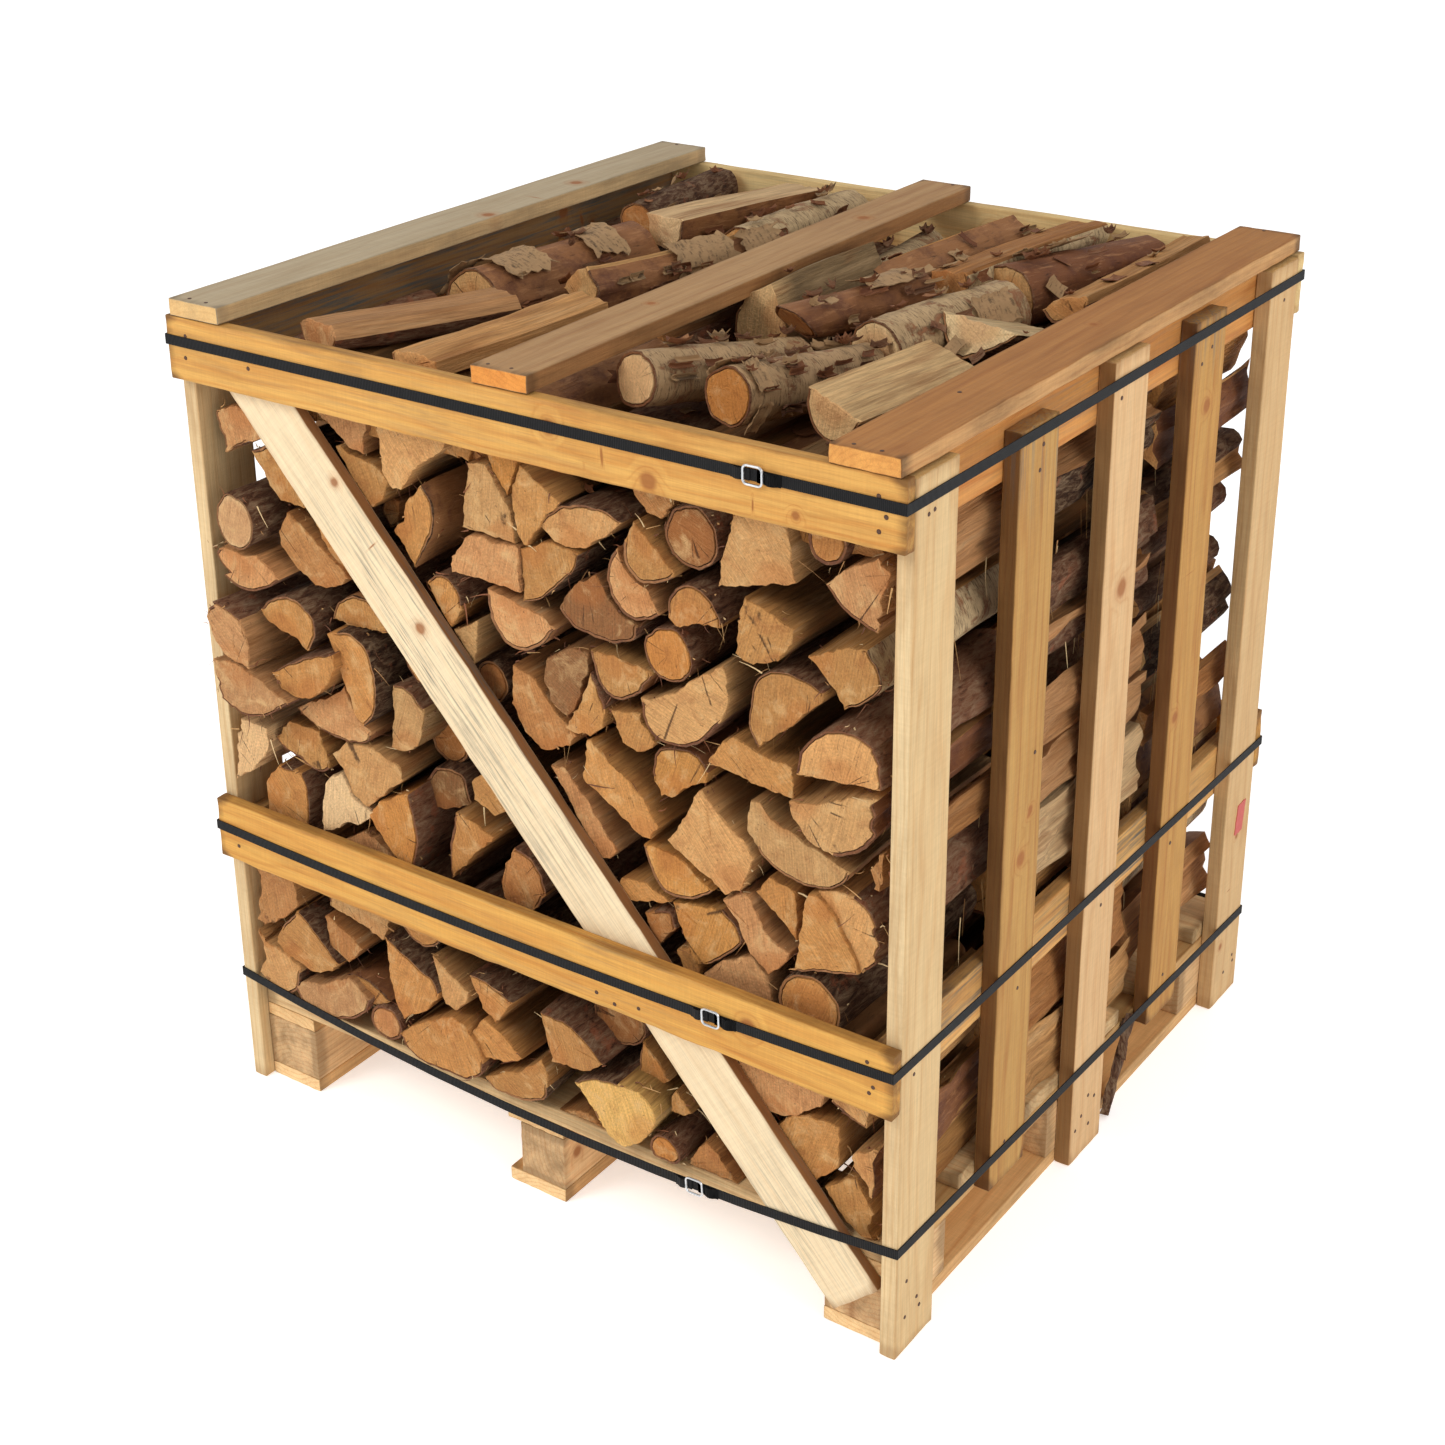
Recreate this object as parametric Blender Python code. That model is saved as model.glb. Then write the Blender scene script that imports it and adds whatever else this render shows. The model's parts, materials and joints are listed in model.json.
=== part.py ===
"""Crate of birch and oak firewood: slatted box on a block pallet, held by three straps."""
import math

import bmesh
import bpy
from mathutils import Matrix, Vector
from mathutils.bvhtree import BVHTree
from mathutils.geometry import delaunay_2d_cdt

# Driving sizes, in metres
crate_width = 1.050
crate_depth = 1.020
rail_top = 1.115
board_thick = 0.022
rail_thick = 0.018
brace_thick = 0.016
gap = 0.0003
soft_edge = 0.0015

# Uprights and the rails across them
post_wide = 0.088
slat_wide = 0.090
inner_rail_thick = 0.020
top_rail_high = 0.082
middle_rail_high = 0.089
middle_rail_level = 0.398
middle_rail_tilt = math.radians(0.6)

# Pallet
skid_high = 0.020
block_high = 0.078
stringer_high = 0.020
deck_high = 0.022
block_long = 0.140
deck_board_wide = 0.100
deck_board_count = 6

# Straps and their wire buckles
strap_wide = 0.013
strap_thick = 0.0012
buckle_wire = 0.0014
buckle_wide = 0.022
buckle_high = 0.020

# The outlines of the logs are written in thousandths of the crate's width, as seen by an eye in
# front of the crate, on a plane just behind the front boards.
step = crate_width / 1000
eye_x = 1552
eye_y = -2300
eye_z = 1850
outline_plane = -450

half_wide = crate_width / 2
half_deep = crate_depth / 2
rail_back = half_deep - rail_thick
post_inner = half_wide - board_thick
deck_top = skid_high + block_high + stringer_high + deck_high
foot_front = rail_back - brace_thick - gap
ground = -gap / 2

# The ends of the front brace's centre line. The back brace leans the other way.
brace_high = Vector((-0.437, 0.0, 1.078))
brace_low = Vector((0.470, 0.0, 0.063))
brace_wide = 0.085

pine = (0.78, 0.58, 0.33)
honey = (0.80, 0.56, 0.27)
straw = (0.84, 0.70, 0.47)
brown_board = (0.56, 0.38, 0.22)
grey_board = (0.62, 0.54, 0.40)
pale_brace = (0.86, 0.78, 0.62)
log_wood = (0.66, 0.44, 0.27)
birch_bark = (0.55, 0.45, 0.36)
strap_black = (0.03, 0.03, 0.035)
wire_grey = (0.62, 0.63, 0.64)


def clear_scene():
    for old in list(bpy.data.objects):
        bpy.data.objects.remove(old, do_unlink=True)


def material(name, colour, roughness=0.75, metallic=0.0):
    found = bpy.data.materials.get(name)
    if found:
        return found
    made = bpy.data.materials.new(name)
    made.use_nodes = True
    shader = made.node_tree.nodes["Principled BSDF"]
    shader.inputs["Base Color"].default_value = (*colour, 1.0)
    shader.inputs["Roughness"].default_value = roughness
    shader.inputs["Metallic"].default_value = metallic
    return made


def add_object(name, mesh_builder, paint):
    mesh = bpy.data.meshes.new(name)
    bmesh.ops.recalc_face_normals(mesh_builder, faces=mesh_builder.faces)
    mesh_builder.to_mesh(mesh)
    mesh_builder.free()
    mesh.materials.append(paint)
    made = bpy.data.objects.new(name, mesh)
    bpy.context.scene.collection.objects.link(made)
    return made


def board(name, size, centre, paint, turn=(0.0, 0.0, 0.0)):
    """A sawn board: a box with its long edges slightly broken."""
    shape = bmesh.new()
    bmesh.ops.create_cube(shape, size=1.0)
    bmesh.ops.scale(shape, vec=size, verts=shape.verts)
    longest = max(range(3), key=lambda axis: size[axis])
    long_edges = [
        edge for edge in shape.edges
        if abs((edge.verts[0].co - edge.verts[1].co)[longest]) > size[longest] / 2
    ]
    bmesh.ops.bevel(shape, geom=long_edges, offset=soft_edge, offset_type="OFFSET",
                    segments=1, profile=0.5, affect="EDGES", material=-1)
    made = add_object(name, shape, paint)
    made.location = centre
    made.rotation_euler = turn
    return made


def span_board(name, x_span, y_span, z_span, paint):
    """A board given by where it starts and ends along each axis, less the touching gap."""
    spans = (x_span, y_span, z_span)
    size = [high - low - gap for low, high in spans]
    centre = [(low + high) / 2 for low, high in spans]
    return board(name, size, centre, paint)


def build_pallet():
    block_paint = material("pallet_block", (0.74, 0.55, 0.33))
    deck_paint = material("pallet_board", pine)
    middle_block_set_in = 0.020
    runners = (
        ("left", -post_inner + gap, -post_inner + post_wide, 0.0),
        ("middle", -0.072, 0.020, middle_block_set_in),
        ("right", post_inner - post_wide, post_inner - gap, 0.0),
    )
    rows = (("front", -foot_front), ("centre", -block_long / 2), ("back", foot_front - block_long))
    for side, low, high, block_set_in in runners:
        span_board(f"skid_{side}", (low, high), (-foot_front, foot_front),
                   (ground, skid_high), deck_paint)
        for place, start in rows:
            span_board(f"block_{side}_{place}", (low + block_set_in, high),
                       (start, start + block_long), (skid_high, skid_high + block_high), block_paint)
        stringer_low = skid_high + block_high
        span_board(f"stringer_{side}", (low, high), (-foot_front, foot_front),
                   (stringer_low, stringer_low + stringer_high), deck_paint)
    pitch = (2 * foot_front - deck_board_wide) / (deck_board_count - 1)
    for number in range(deck_board_count):
        start = -foot_front + number * pitch
        span_board(f"deck_board_{number + 1}", (-post_inner + gap, post_inner - gap),
                   (start, start + deck_board_wide), (deck_top - deck_high, deck_top), deck_paint)


def build_side(side, sign):
    """Two posts, three slats and two inner rails on one long side."""
    straw_paint = material("straw_board", straw)
    honey_paint = material("honey_board", honey)
    orange_paint = material("side_rail_board", (0.74, 0.50, 0.27))
    outer = sorted((sign * post_inner, sign * half_wide))
    inner = sorted((sign * (post_inner - gap), sign * (post_inner - inner_rail_thick)))
    post_top = rail_top - 0.003
    uprights = (
        ("post_front", -rail_back + gap, -rail_back + post_wide, ground, post_top, straw_paint),
        ("slat_front", -0.271, -0.271 + slat_wide, 0.102, 1.094, honey_paint),
        ("slat_middle", -slat_wide / 2, slat_wide / 2, ground, post_top, straw_paint),
        ("slat_back", 0.176, 0.176 + slat_wide, 0.098, 1.102, honey_paint),
        ("post_back", rail_back - post_wide, rail_back - gap, ground, post_top, straw_paint),
    )
    for name, low, high, bottom, top, paint in uprights:
        span_board(f"{name}_{side}", outer, (low, high), (bottom, top), paint)
    run = (-rail_back + gap, rail_back - gap)
    span_board(f"side_top_rail_{side}", inner, run, (1.033, 1.112), orange_paint)
    span_board(f"side_middle_rail_{side}", inner, run, (0.349, 0.426), orange_paint)


def build_end(end, sign):
    """Top rail, middle rail and diagonal brace on the front or the back."""
    honey_paint = material("honey_board", honey)
    brace_paint = material("brace_board", pale_brace)
    rail_y = sign * (rail_back + half_deep) / 2
    board(f"{end}_top_rail", (crate_width, rail_thick - gap, top_rail_high),
          (0.0, rail_y, rail_top - top_rail_high / 2), honey_paint)
    board(f"{end}_middle_rail", (crate_width, rail_thick - gap, middle_rail_high),
          (0.0, rail_y, middle_rail_level), honey_paint, turn=(0.0, -sign * middle_rail_tilt, 0.0))
    middle = (brace_high + brace_low) / 2
    run = brace_low - brace_high
    lean = math.atan2(-run.z, run.x)
    brace_y = sign * (rail_back - gap - brace_thick / 2)
    board(f"{end}_brace", (run.length, brace_thick - gap, brace_wide),
          (-sign * middle.x, brace_y, middle.z), brace_paint, turn=(0.0, -sign * lean, 0.0))


def build_top_boards():
    top = rail_top + board_thick
    places = (
        ("left", -0.4745, 0.083, 0.0, material("grey_board", grey_board)),
        ("middle", -0.0055, 0.080, 0.9, material("brown_board", brown_board)),
        ("right", 0.4755, 0.088, 0.0, material("brown_board", brown_board)),
    )
    for side, x, wide, skew, paint in places:
        board(f"top_board_{side}", (wide, crate_depth, board_thick - gap),
              (x, -0.001, (rail_top + top) / 2 + gap), paint,
              turn=(0.0, 0.0, math.radians(skew)))


def strap_route(face_y, front_level, back_level):
    """Points of a closed strap route, each with its outward side; level gives the height at an x."""
    side_x = half_wide + gap
    inner_x = (-0.42, -0.30, -0.18, -0.06, 0.06, 0.18, 0.30, 0.42)
    route = [(-side_x, -face_y, front_level(-side_x), -1.0, -1.0)]
    route += [(x, -face_y, front_level(x), 0.0, -1.0) for x in inner_x]
    route.append((side_x, -face_y, front_level(side_x), 1.0, -1.0))
    route.append((side_x, face_y, back_level, 1.0, 1.0))
    route.append((-side_x, face_y, back_level, -1.0, 1.0))
    return [(Vector((x, y, z)), Vector((out_x, out_y, 0.0))) for x, y, z, out_x, out_y in route]


def build_strap(name, route):
    """A flat band that follows the route: its four edges join ring after ring."""
    shape = bmesh.new()
    rings = []
    for inner, side in route:
        outer = inner + side * strap_thick
        low = Vector((0.0, 0.0, -strap_wide / 2))
        rings.append([shape.verts.new(point) for point in
                      (inner + low, outer + low, outer - low, inner - low)])
    for number, ring in enumerate(rings):
        following = rings[(number + 1) % len(rings)]
        for corner in range(4):
            beside = (corner + 1) % 4
            shape.faces.new((ring[corner], ring[beside], following[beside], following[corner]))
    return add_object(name, shape, material("strap", strap_black, 0.6))


def build_buckle(name, x, y, z):
    """A bent wire ring that lies on the strap."""
    shape = bmesh.new()
    sides = 6
    turn_points = 3
    bend = 0.005
    rings = []
    corners = (
        (buckle_wide / 2 - bend, buckle_high / 2 - bend, 0),
        (-buckle_wide / 2 + bend, buckle_high / 2 - bend, 90),
        (-buckle_wide / 2 + bend, -buckle_high / 2 + bend, 180),
        (buckle_wide / 2 - bend, -buckle_high / 2 + bend, 270),
    )
    for corner_x, corner_z, start in corners:
        for number in range(turn_points + 1):
            angle = math.radians(start + 90 * number / turn_points)
            outward = Vector((math.cos(angle), 0.0, math.sin(angle)))
            centre = Vector((corner_x, 0.0, corner_z)) + outward * bend
            ring = []
            for side in range(sides):
                around = 2 * math.pi * side / sides
                offset = outward * math.cos(around) + Vector((0.0, 1.0, 0.0)) * math.sin(around)
                ring.append(shape.verts.new(centre + offset * buckle_wire))
            rings.append(ring)
    for number, ring in enumerate(rings):
        following = rings[(number + 1) % len(rings)]
        for side in range(sides):
            beside = (side + 1) % sides
            shape.faces.new((ring[side], ring[beside], following[beside], following[side]))
    made = add_object(name, shape, material("buckle_wire", wire_grey, 0.35, 0.9))
    made.data.shade_smooth()
    made.location = (x, y - buckle_wire - gap, z)
    return made


def build_straps():
    def top_level(x):
        return 1.084

    def middle_level(x):
        return 0.396 + 0.045 * x ** 2

    def deck_level(x):
        return 0.128 + 0.125 * (x - 0.05) ** 2

    rail_face = half_deep + gap
    post_face = rail_back + gap
    bands = (
        ("top", rail_face, top_level, 1.084, 0.342),
        ("middle", rail_face, middle_level, 0.399, 0.280),
        ("deck", post_face, deck_level, 0.128, 0.240),
    )
    for name, face, level, back_level, buckle_x in bands:
        build_strap(f"strap_{name}", strap_route(face, level, back_level))
        build_buckle(f"buckle_{name}", buckle_x, -face - strap_thick - gap, level(buckle_x))


# Log ends on the front. Each is: how far its end stands out of the outline plane, then its corners.
split_ends = (
    # Upper left
    (20, ((-403, 915), (-462, 887), (-474, 912), (-475, 940), (-432, 953), (-385, 948), (-380, 925))),
    (12, ((-416, 900), (-397, 870), (-374, 843), (-335, 842), (-318, 862), (-345, 892), (-385, 912))),
    (5, ((-383, 805), (-366, 832), (-345, 822), (-268, 768), (-300, 748), (-328, 745), (-355, 762))),
    (0, ((-325, 838), (-290, 852), (-250, 820), (-245, 787), (-268, 775), (-298, 798))),
    (22, ((-393, 737), (-432, 712), (-458, 710), (-485, 722), (-500, 757), (-447, 761), (-402, 752))),
    (22, ((-349, 653), (-330, 697), (-345, 716), (-376, 724), (-408, 713), (-428, 693), (-393, 670))),
    (0, ((-305, 708), (-299, 731), (-274, 749), (-245, 750), (-222, 737), (-214, 714), (-260, 706))),
    (8, ((-278, 933), (-251, 926), (-228, 924), (-195, 908), (-212, 878), (-228, 866), (-251, 889))),
    (0, ((-305, 968), (-300, 1000), (-228, 1000), (-228, 960), (-234, 931), (-251, 933))),
    (12, ((-100, 990), (-155, 928), (-180, 899), (-199, 899), (-213, 975), (-205, 1000))),
    (10, ((-149, 913), (-135, 897), (-131, 874), (-151, 832), (-166, 808), (-197, 847), (-174, 889))),
    (4, ((-122, 811), (-105, 801), (-97, 785), (-99, 770), (-116, 744), (-150, 793), (-139, 807))),
    (0, ((-114, 743), (-76, 764), (-78, 732), (-85, 707))),
    (8, ((-60, 808), (-54, 762), (-38, 745), (-20, 738), (0, 743), (38, 781), (15, 795))),
    (8, ((-93, 872), (-80, 953), (-54, 957), (-26, 910), (-20, 871))),
    (10, ((-112, 836), (-85, 864), (-14, 865), (-14, 814), (-111, 816))),
    (6, ((74, 878), (68, 858), (22, 812), (-8, 803), (-10, 866), (30, 884))),
    (2, ((-60, 985), (-47, 955), (-26, 927), (-10, 985))),
    (8, ((-3, 964), (-15, 939), (-12, 887), (-2, 878), (18, 902), (44, 934))),
    # Upper right
    (4, ((24, 899), (45, 922), (72, 939), (110, 938), (134, 928), (82, 888), (37, 890))),
    (12, ((203, 885), (165, 862), (149, 864), (134, 878), (132, 903), (147, 933))),
    (6, ((122, 897), (109, 858), (115, 835), (130, 820), (149, 816), (181, 832), (148, 859), (127, 890))),
    (6, ((188, 847), (195, 866), (211, 877), (230, 878), (249, 866), (261, 849), (259, 836), (201, 826))),
    (6, ((151, 812), (149, 793), (92, 783), (57, 789), (42, 808), (63, 841), (95, 858), (109, 832))),
    (0, ((147, 990), (149, 962), (165, 945), (180, 942), (188, 990))),
    (12, ((278, 978), (255, 883), (353, 908), (338, 978))),
    (10, ((386, 917), (407, 893), (434, 878), (449, 877), (463, 908), (461, 960), (442, 955))),
    (14, ((288, 881), (349, 858), (349, 839), (330, 816), (299, 803), (276, 812))),
    (6, ((438, 860), (460, 845), (470, 815), (411, 783), (365, 832), (400, 850))),
    (10, ((365, 806), (338, 810), (303, 793), (292, 751), (305, 709), (384, 782), (388, 797))),
    (16, ((468, 703), (465, 728), (449, 751), (422, 762), (399, 760), (376, 747), (357, 724), (351, 692))),
    (8, ((261, 795), (268, 755), (240, 700), (212, 681), (168, 682), (153, 700), (153, 726), (230, 774))),
    (6, ((84, 768), (162, 762), (143, 729), (126, 716), (103, 718))),
    (4, ((50, 673), (25, 690), (15, 712), (22, 743), (42, 758), (79, 764), (58, 690))),
    (8, ((103, 700), (99, 675), (80, 661), (57, 659), (63, 690), (82, 740))),
    (4, ((115, 682), (126, 666), (145, 659), (163, 672), (143, 706), (112, 704))),
    (6, ((-28, 720), (13, 700), (50, 652), (25, 627), (8, 622), (-15, 640), (-33, 672))),
    # Middle left
    (45, ((-456, 603), (-451, 635), (-462, 670), (-505, 688), (-533, 672), (-551, 641), (-497, 611))),
    (34, ((-416, 610), (-351, 649), (-308, 662), (-312, 628), (-335, 601), (-378, 592), (-401, 597))),
    (20, ((-316, 687), (-289, 699), (-266, 695), (-241, 658), (-241, 612), (-266, 576), (-293, 624))),
    (12, ((-378, 572), (-320, 603), (-293, 620), (-274, 583), (-255, 572), (-259, 555), (-328, 547))),
    (4, ((-214, 647), (-193, 651), (-166, 628), (-172, 585), (-189, 566), (-224, 560))),
    (45, ((-392, 573), (-447, 535), (-474, 535), (-525, 560), (-520, 602), (-455, 595))),
    (22, ((-478, 530), (-435, 528), (-437, 493), (-462, 462), (-505, 437), (-507, 489))),
    (10, ((-420, 520), (-393, 551), (-343, 549), (-328, 501), (-343, 489), (-393, 505))),
    (14, ((-324, 524), (-297, 547), (-255, 551), (-216, 539), (-205, 520), (-274, 464), (-301, 489))),
    (10, ((-447, 385), (-443, 455), (-420, 482), (-378, 482), (-368, 466), (-370, 385))),
    (16, ((-351, 405), (-349, 451), (-339, 482), (-312, 501), (-293, 474), (-258, 462), (-289, 435))),
    (6, ((-316, 405), (-282, 428), (-258, 424), (-235, 405), (-250, 380), (-300, 380))),
    (16, ((-274, 455), (-216, 501), (-201, 505), (-189, 443), (-205, 392), (-224, 405))),
    (8, ((-128, 504), (-66, 487), (-120, 428), (-139, 408), (-141, 451))),
    (0, ((-62, 412), (-64, 428), (-53, 455), (-39, 484), (-15, 480), (8, 435), (-20, 400))),
    (0, ((-101, 551), (-97, 528), (-66, 516), (-30, 530), (-60, 585))),
    (-25, ((-190, 520), (-150, 562), (-108, 560), (-102, 520), (-140, 498))),
    # Middle right
    (8, ((74, 655), (149, 608), (174, 574), (149, 553), (107, 578), (68, 605))),
    (4, ((22, 608), (42, 612), (115, 524), (103, 510), (88, 507))),
    (0, ((163, 647), (172, 674), (195, 682), (226, 683), (242, 662), (191, 616), (176, 614))),
    (10, ((226, 637), (257, 612), (301, 574), (295, 555), (261, 516), (242, 528), (184, 562))),
    (8, ((238, 674), (257, 705), (272, 716), (349, 701), (349, 662), (280, 668))),
    (12, ((343, 658), (459, 693), (457, 662), (445, 635), (418, 612), (399, 608), (372, 616))),
    (8, ((295, 643), (307, 645), (422, 597), (415, 578), (365, 560), (334, 566), (291, 608))),
    (4, ((445, 608), (455, 628), (468, 631), (468, 585), (455, 583))),
    (10, ((368, 555), (380, 557), (403, 535), (434, 474), (403, 464), (351, 451))),
    (4, ((382, 565), (403, 571), (426, 570), (449, 558), (465, 528), (461, 501), (438, 480))),
    (2, ((301, 535), (318, 558), (351, 551), (353, 492))),
    (6, ((149, 547), (195, 547), (245, 516), (230, 501), (203, 489), (184, 489), (157, 520))),
    (4, ((103, 462), (118, 493), (149, 497), (188, 483))),
    (0, ((149, 458), (172, 470), (190, 472), (195, 451), (172, 424))),
    (4, ((192, 486), (257, 497), (280, 482), (288, 466), (242, 420), (218, 412))),
    (8, ((257, 510), (284, 528), (297, 524), (322, 478), (347, 472), (342, 458), (318, 433))),
    (2, ((230, 395), (257, 432), (295, 451), (318, 432), (324, 395))),
    # Lower left
    (15, ((-500, 345), (-415, 345), (-408, 280), (-428, 257), (-474, 228), (-497, 235))),
    (15, ((-457, 210), (-435, 249), (-408, 274), (-385, 257), (-341, 216), (-389, 187), (-443, 199))),
    (35, ((-520, 206), (-478, 203), (-412, 183), (-422, 145), (-447, 128), (-474, 133), (-520, 152))),
    (18, ((-430, 153), (-378, 174), (-328, 203), (-293, 180), (-293, 164), (-355, 126), (-408, 124))),
    (8, ((-331, 205), (-310, 214), (-285, 208), (-255, 191), (-280, 179))),
    (20, ((-247, 147), (-155, 207), (-135, 199), (-105, 160), (-135, 120), (-174, 112), (-216, 116))),
    (14, ((-258, 287), (-228, 272), (-172, 245), (-174, 226), (-197, 199), (-235, 172), (-255, 222))),
    (8, ((-362, 282), (-320, 268), (-295, 253), (-324, 224), (-355, 239))),
    (10, ((-180, 287), (-122, 253), (-147, 216), (-164, 220))),
    (10, ((-122, 280), (-97, 282), (-51, 264), (-83, 222))),
    (12, ((-103, 224), (-78, 214), (-41, 185), (-58, 174), (-105, 164), (-120, 183))),
    (14, ((-105, 137), (-47, 168), (-12, 199), (-3, 176), (-5, 141), (-39, 122), (-97, 122))),
    (0, ((-355, 345), (-350, 300), (-262, 278), (-245, 345))),
    (4, ((-235, 345), (-230, 312), (-210, 295), (-190, 290), (-150, 345))),
    # Lower right
    (16, ((-12, 266), (22, 268), (57, 253), (84, 226), (53, 203), (3, 200))),
    (18, ((36, 185), (65, 203), (134, 207), (155, 191), (159, 168), (111, 118), (88, 124))),
    (0, ((205, 122), (211, 153), (230, 178), (249, 164), (276, 133))),
    (-20, ((136, 249), (142, 284), (161, 264), (180, 241), (149, 203), (134, 214))),
    (0, ((11, 122), (30, 141), (57, 149), (84, 126))),
    (6, ((268, 345), (272, 297), (288, 262), (305, 249), (334, 253), (388, 287), (395, 345))),
    (4, ((402, 340), (400, 300), (422, 287), (447, 282), (460, 340))),
    (8, ((326, 237), (349, 264), (413, 272), (411, 214), (382, 185))),
    (4, ((428, 241), (453, 257), (465, 260), (465, 191), (453, 203))),
    (6, ((392, 183), (434, 214), (465, 164), (463, 137), (442, 129), (422, 145))),
)

# Round log ends: how far out, the middle, and the half width and half height
round_ends = (
    (30, -455, 800, 33, 38),
    (0, 223, 931, 37, 38),
    (2, 190, 789, 34, 34),
    (4, 388, 962, 24, 24),
    (4, 371, 412, 44, 42),
    (12, -267, 156, 30, 28),
    (12, 170, 138, 25, 25),
    (-25, 110, 300, 40, 38),
    # Hidden behind the brace and the middle rail
    (-10, -262, 850, 30, 32),
    (-10, -205, 790, 26, 28),
    (-10, -160, 690, 34, 36),
    (-10, -90, 630, 32, 34),
    (-12, 20, 530, 36, 36),
    (-12, 70, 470, 28, 30),
    (-12, 210, 290, 28, 34),
    (-12, 290, 215, 30, 32),
    (-12, 345, 160, 30, 30),
    (6, -200, 360, 30, 28),
    (6, -120, 355, 34, 30),
    (6, -30, 350, 38, 32),
    (6, 60, 360, 34, 30),
    (6, 150, 365, 36, 30),
    (-20, -60, 690, 26, 30),
)

# Logs at the top of each row: how far out of the outline plane the end is, then its corners
front_row_top = (
    (-10, ((-440, 950), (-436, 1005), (-400, 1030), (-368, 1010), (-362, 950))),
    (-14, ((-358, 950), (-352, 1020), (-318, 1036), (-262, 1032), (-248, 950))),
    (-10, ((-240, 950), (-232, 1030), (-180, 1038), (-112, 1034), (-100, 950))),
    (-16, ((-94, 950), (-84, 1008), (-46, 1026), (-8, 1004), (0, 950))),
    (-40, ((6, 950), (14, 984), (60, 992), (112, 980), (118, 950))),
    (-40, ((124, 950), (150, 984), (196, 990), (242, 978), (250, 950))),
    (-12, ((262, 950), (272, 1000), (322, 1008), (372, 1000), (380, 950))),
    (-12, ((388, 950), (392, 1006), (420, 1028), (444, 1004), (448, 950))),
)
middle_row_top = (
    (-360, ((-210, 994), (-160, 986), (-137, 1006), (-140, 1050), (-153, 1072), (-190, 1060))),
    (-310, ((-224, 950), (-222, 1004), (-130, 1014), (-116, 950))),
    (-310, ((-100, 950), (-92, 1020), (-40, 1030), (-10, 950))),
    (-390, ((22, 1032), (30, 960), (88, 1000), (80, 1040), (63, 1082), (40, 1057))),
    (-370, ((96, 950), (98, 1034), (118, 1052), (138, 1040), (144, 950))),
    (-310, ((176, 950), (180, 974), (262, 974), (270, 950))),
    (-360, ((193, 1031), (198, 950), (270, 950), (277, 1045), (250, 1071), (222, 1072), (204, 1056))),
    (-420, ((262, 1066), (300, 1000), (330, 990), (378, 1040), (377, 1064))),
    (-310, ((300, 950), (304, 1004), (380, 1030), (430, 1010), (436, 950))),
)
back_row_top = (
    (-14, ((-370, 950), (-368, 1020), (-346, 1048), (-318, 1030), (-312, 950))),
    (-16, ((-302, 950), (-300, 1010), (-210, 1018), (-196, 950))),
    (-12, ((-180, 950), (-172, 1010), (-130, 1036), (-96, 1010), (-88, 950))),
    (-18, ((-70, 950), (-64, 1004), (-20, 1024), (28, 1006), (34, 950))),
    (-12, ((60, 950), (70, 1014), (112, 1038), (150, 1016), (156, 950))),
    (-12, ((222, 950), (226, 1040), (250, 1068), (286, 1074), (314, 1056), (322, 1020), (316, 950))),
    (-14, ((326, 950), (330, 1044), (353, 1058), (402, 1056), (416, 950))),
)


def towards_eye(x, z, out):
    """Moves an outline's point to a plane nearer the eye, so that it looks the same."""
    share = out / (outline_plane - eye_y)
    return x + (eye_x - x) * share, z + (eye_z - z) * share


def keep_inside(x, z):
    """Keeps a log clear of the posts, the side rails and the deck."""
    beside_rail = 300 < z < 425 or z > 955
    limit = 452 if beside_rail else 473
    lowest = deck_top / step + 1
    return max(-limit, min(limit, x)), max(lowest, z)


def furthest_out(corners, brace_side):
    """How far a log's end may stand out before it meets a rail, the brace or the lowest strap."""
    heights = [z * step for _, z in corners]
    run = (brace_low - brace_high).normalized()
    beside_brace = [(brace_side * x * step - brace_high.x) * run.z - (z * step - brace_high.z) * run.x
                    for x, z in corners]
    half_brace = brace_wide / 2 + 0.003
    if min(beside_brace) < half_brace and max(beside_brace) > -half_brace:
        return 2
    by_middle_rail = max(heights) > 0.344 and min(heights) < 0.452
    if by_middle_rail or max(heights) > 1.030 or min(heights) < 0.190:
        return 18
    return 35


def anticlockwise(corners):
    """The same outline, taken round so that its inside is on its left."""
    doubled_area = sum(first[0] * second[1] - second[0] * first[1]
                       for first, second in zip(corners, corners[1:] + corners[:1]))
    return corners if doubled_area > 0 else corners[::-1]


def metres(corners):
    """An outline in metres, anticlockwise, less the corners that lie on a straight line."""
    smallest_turn = 12
    before = corners[-1:] + corners[:-1]
    after = corners[1:] + corners[:1]
    kept = [(x * step, z * step) for (x0, z0), (x, z), (x1, z1) in zip(before, corners, after)
            if abs((x - x0) * (z1 - z) - (z - z0) * (x1 - x)) > smallest_turn]
    return anticlockwise(kept)


def placed_section(out, corners, brace_side=1):
    """A section in metres, moved to where it looks right from the eye, and kept off the crate."""
    out = min(out, furthest_out(corners, brace_side))
    moved = [keep_inside(*towards_eye(x, z, out)) for x, z in corners]
    return out, metres(moved)


def front_sections():
    """All the log sections of the front row, those that stand out furthest first."""
    found = [placed_section(out, corners) for out, corners in split_ends]
    round_sides = 9
    for out, x, z, half_x, half_z in round_ends:
        angles = [2 * math.pi * number / round_sides for number in range(round_sides)]
        found.append(placed_section(out, [(x + half_x * math.cos(angle), z + half_z * math.sin(angle))
                                          for angle in angles]))
    found += [(out, metres(corners)) for out, corners in front_row_top]
    return sorted(found, key=lambda section: -section[0])


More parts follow.
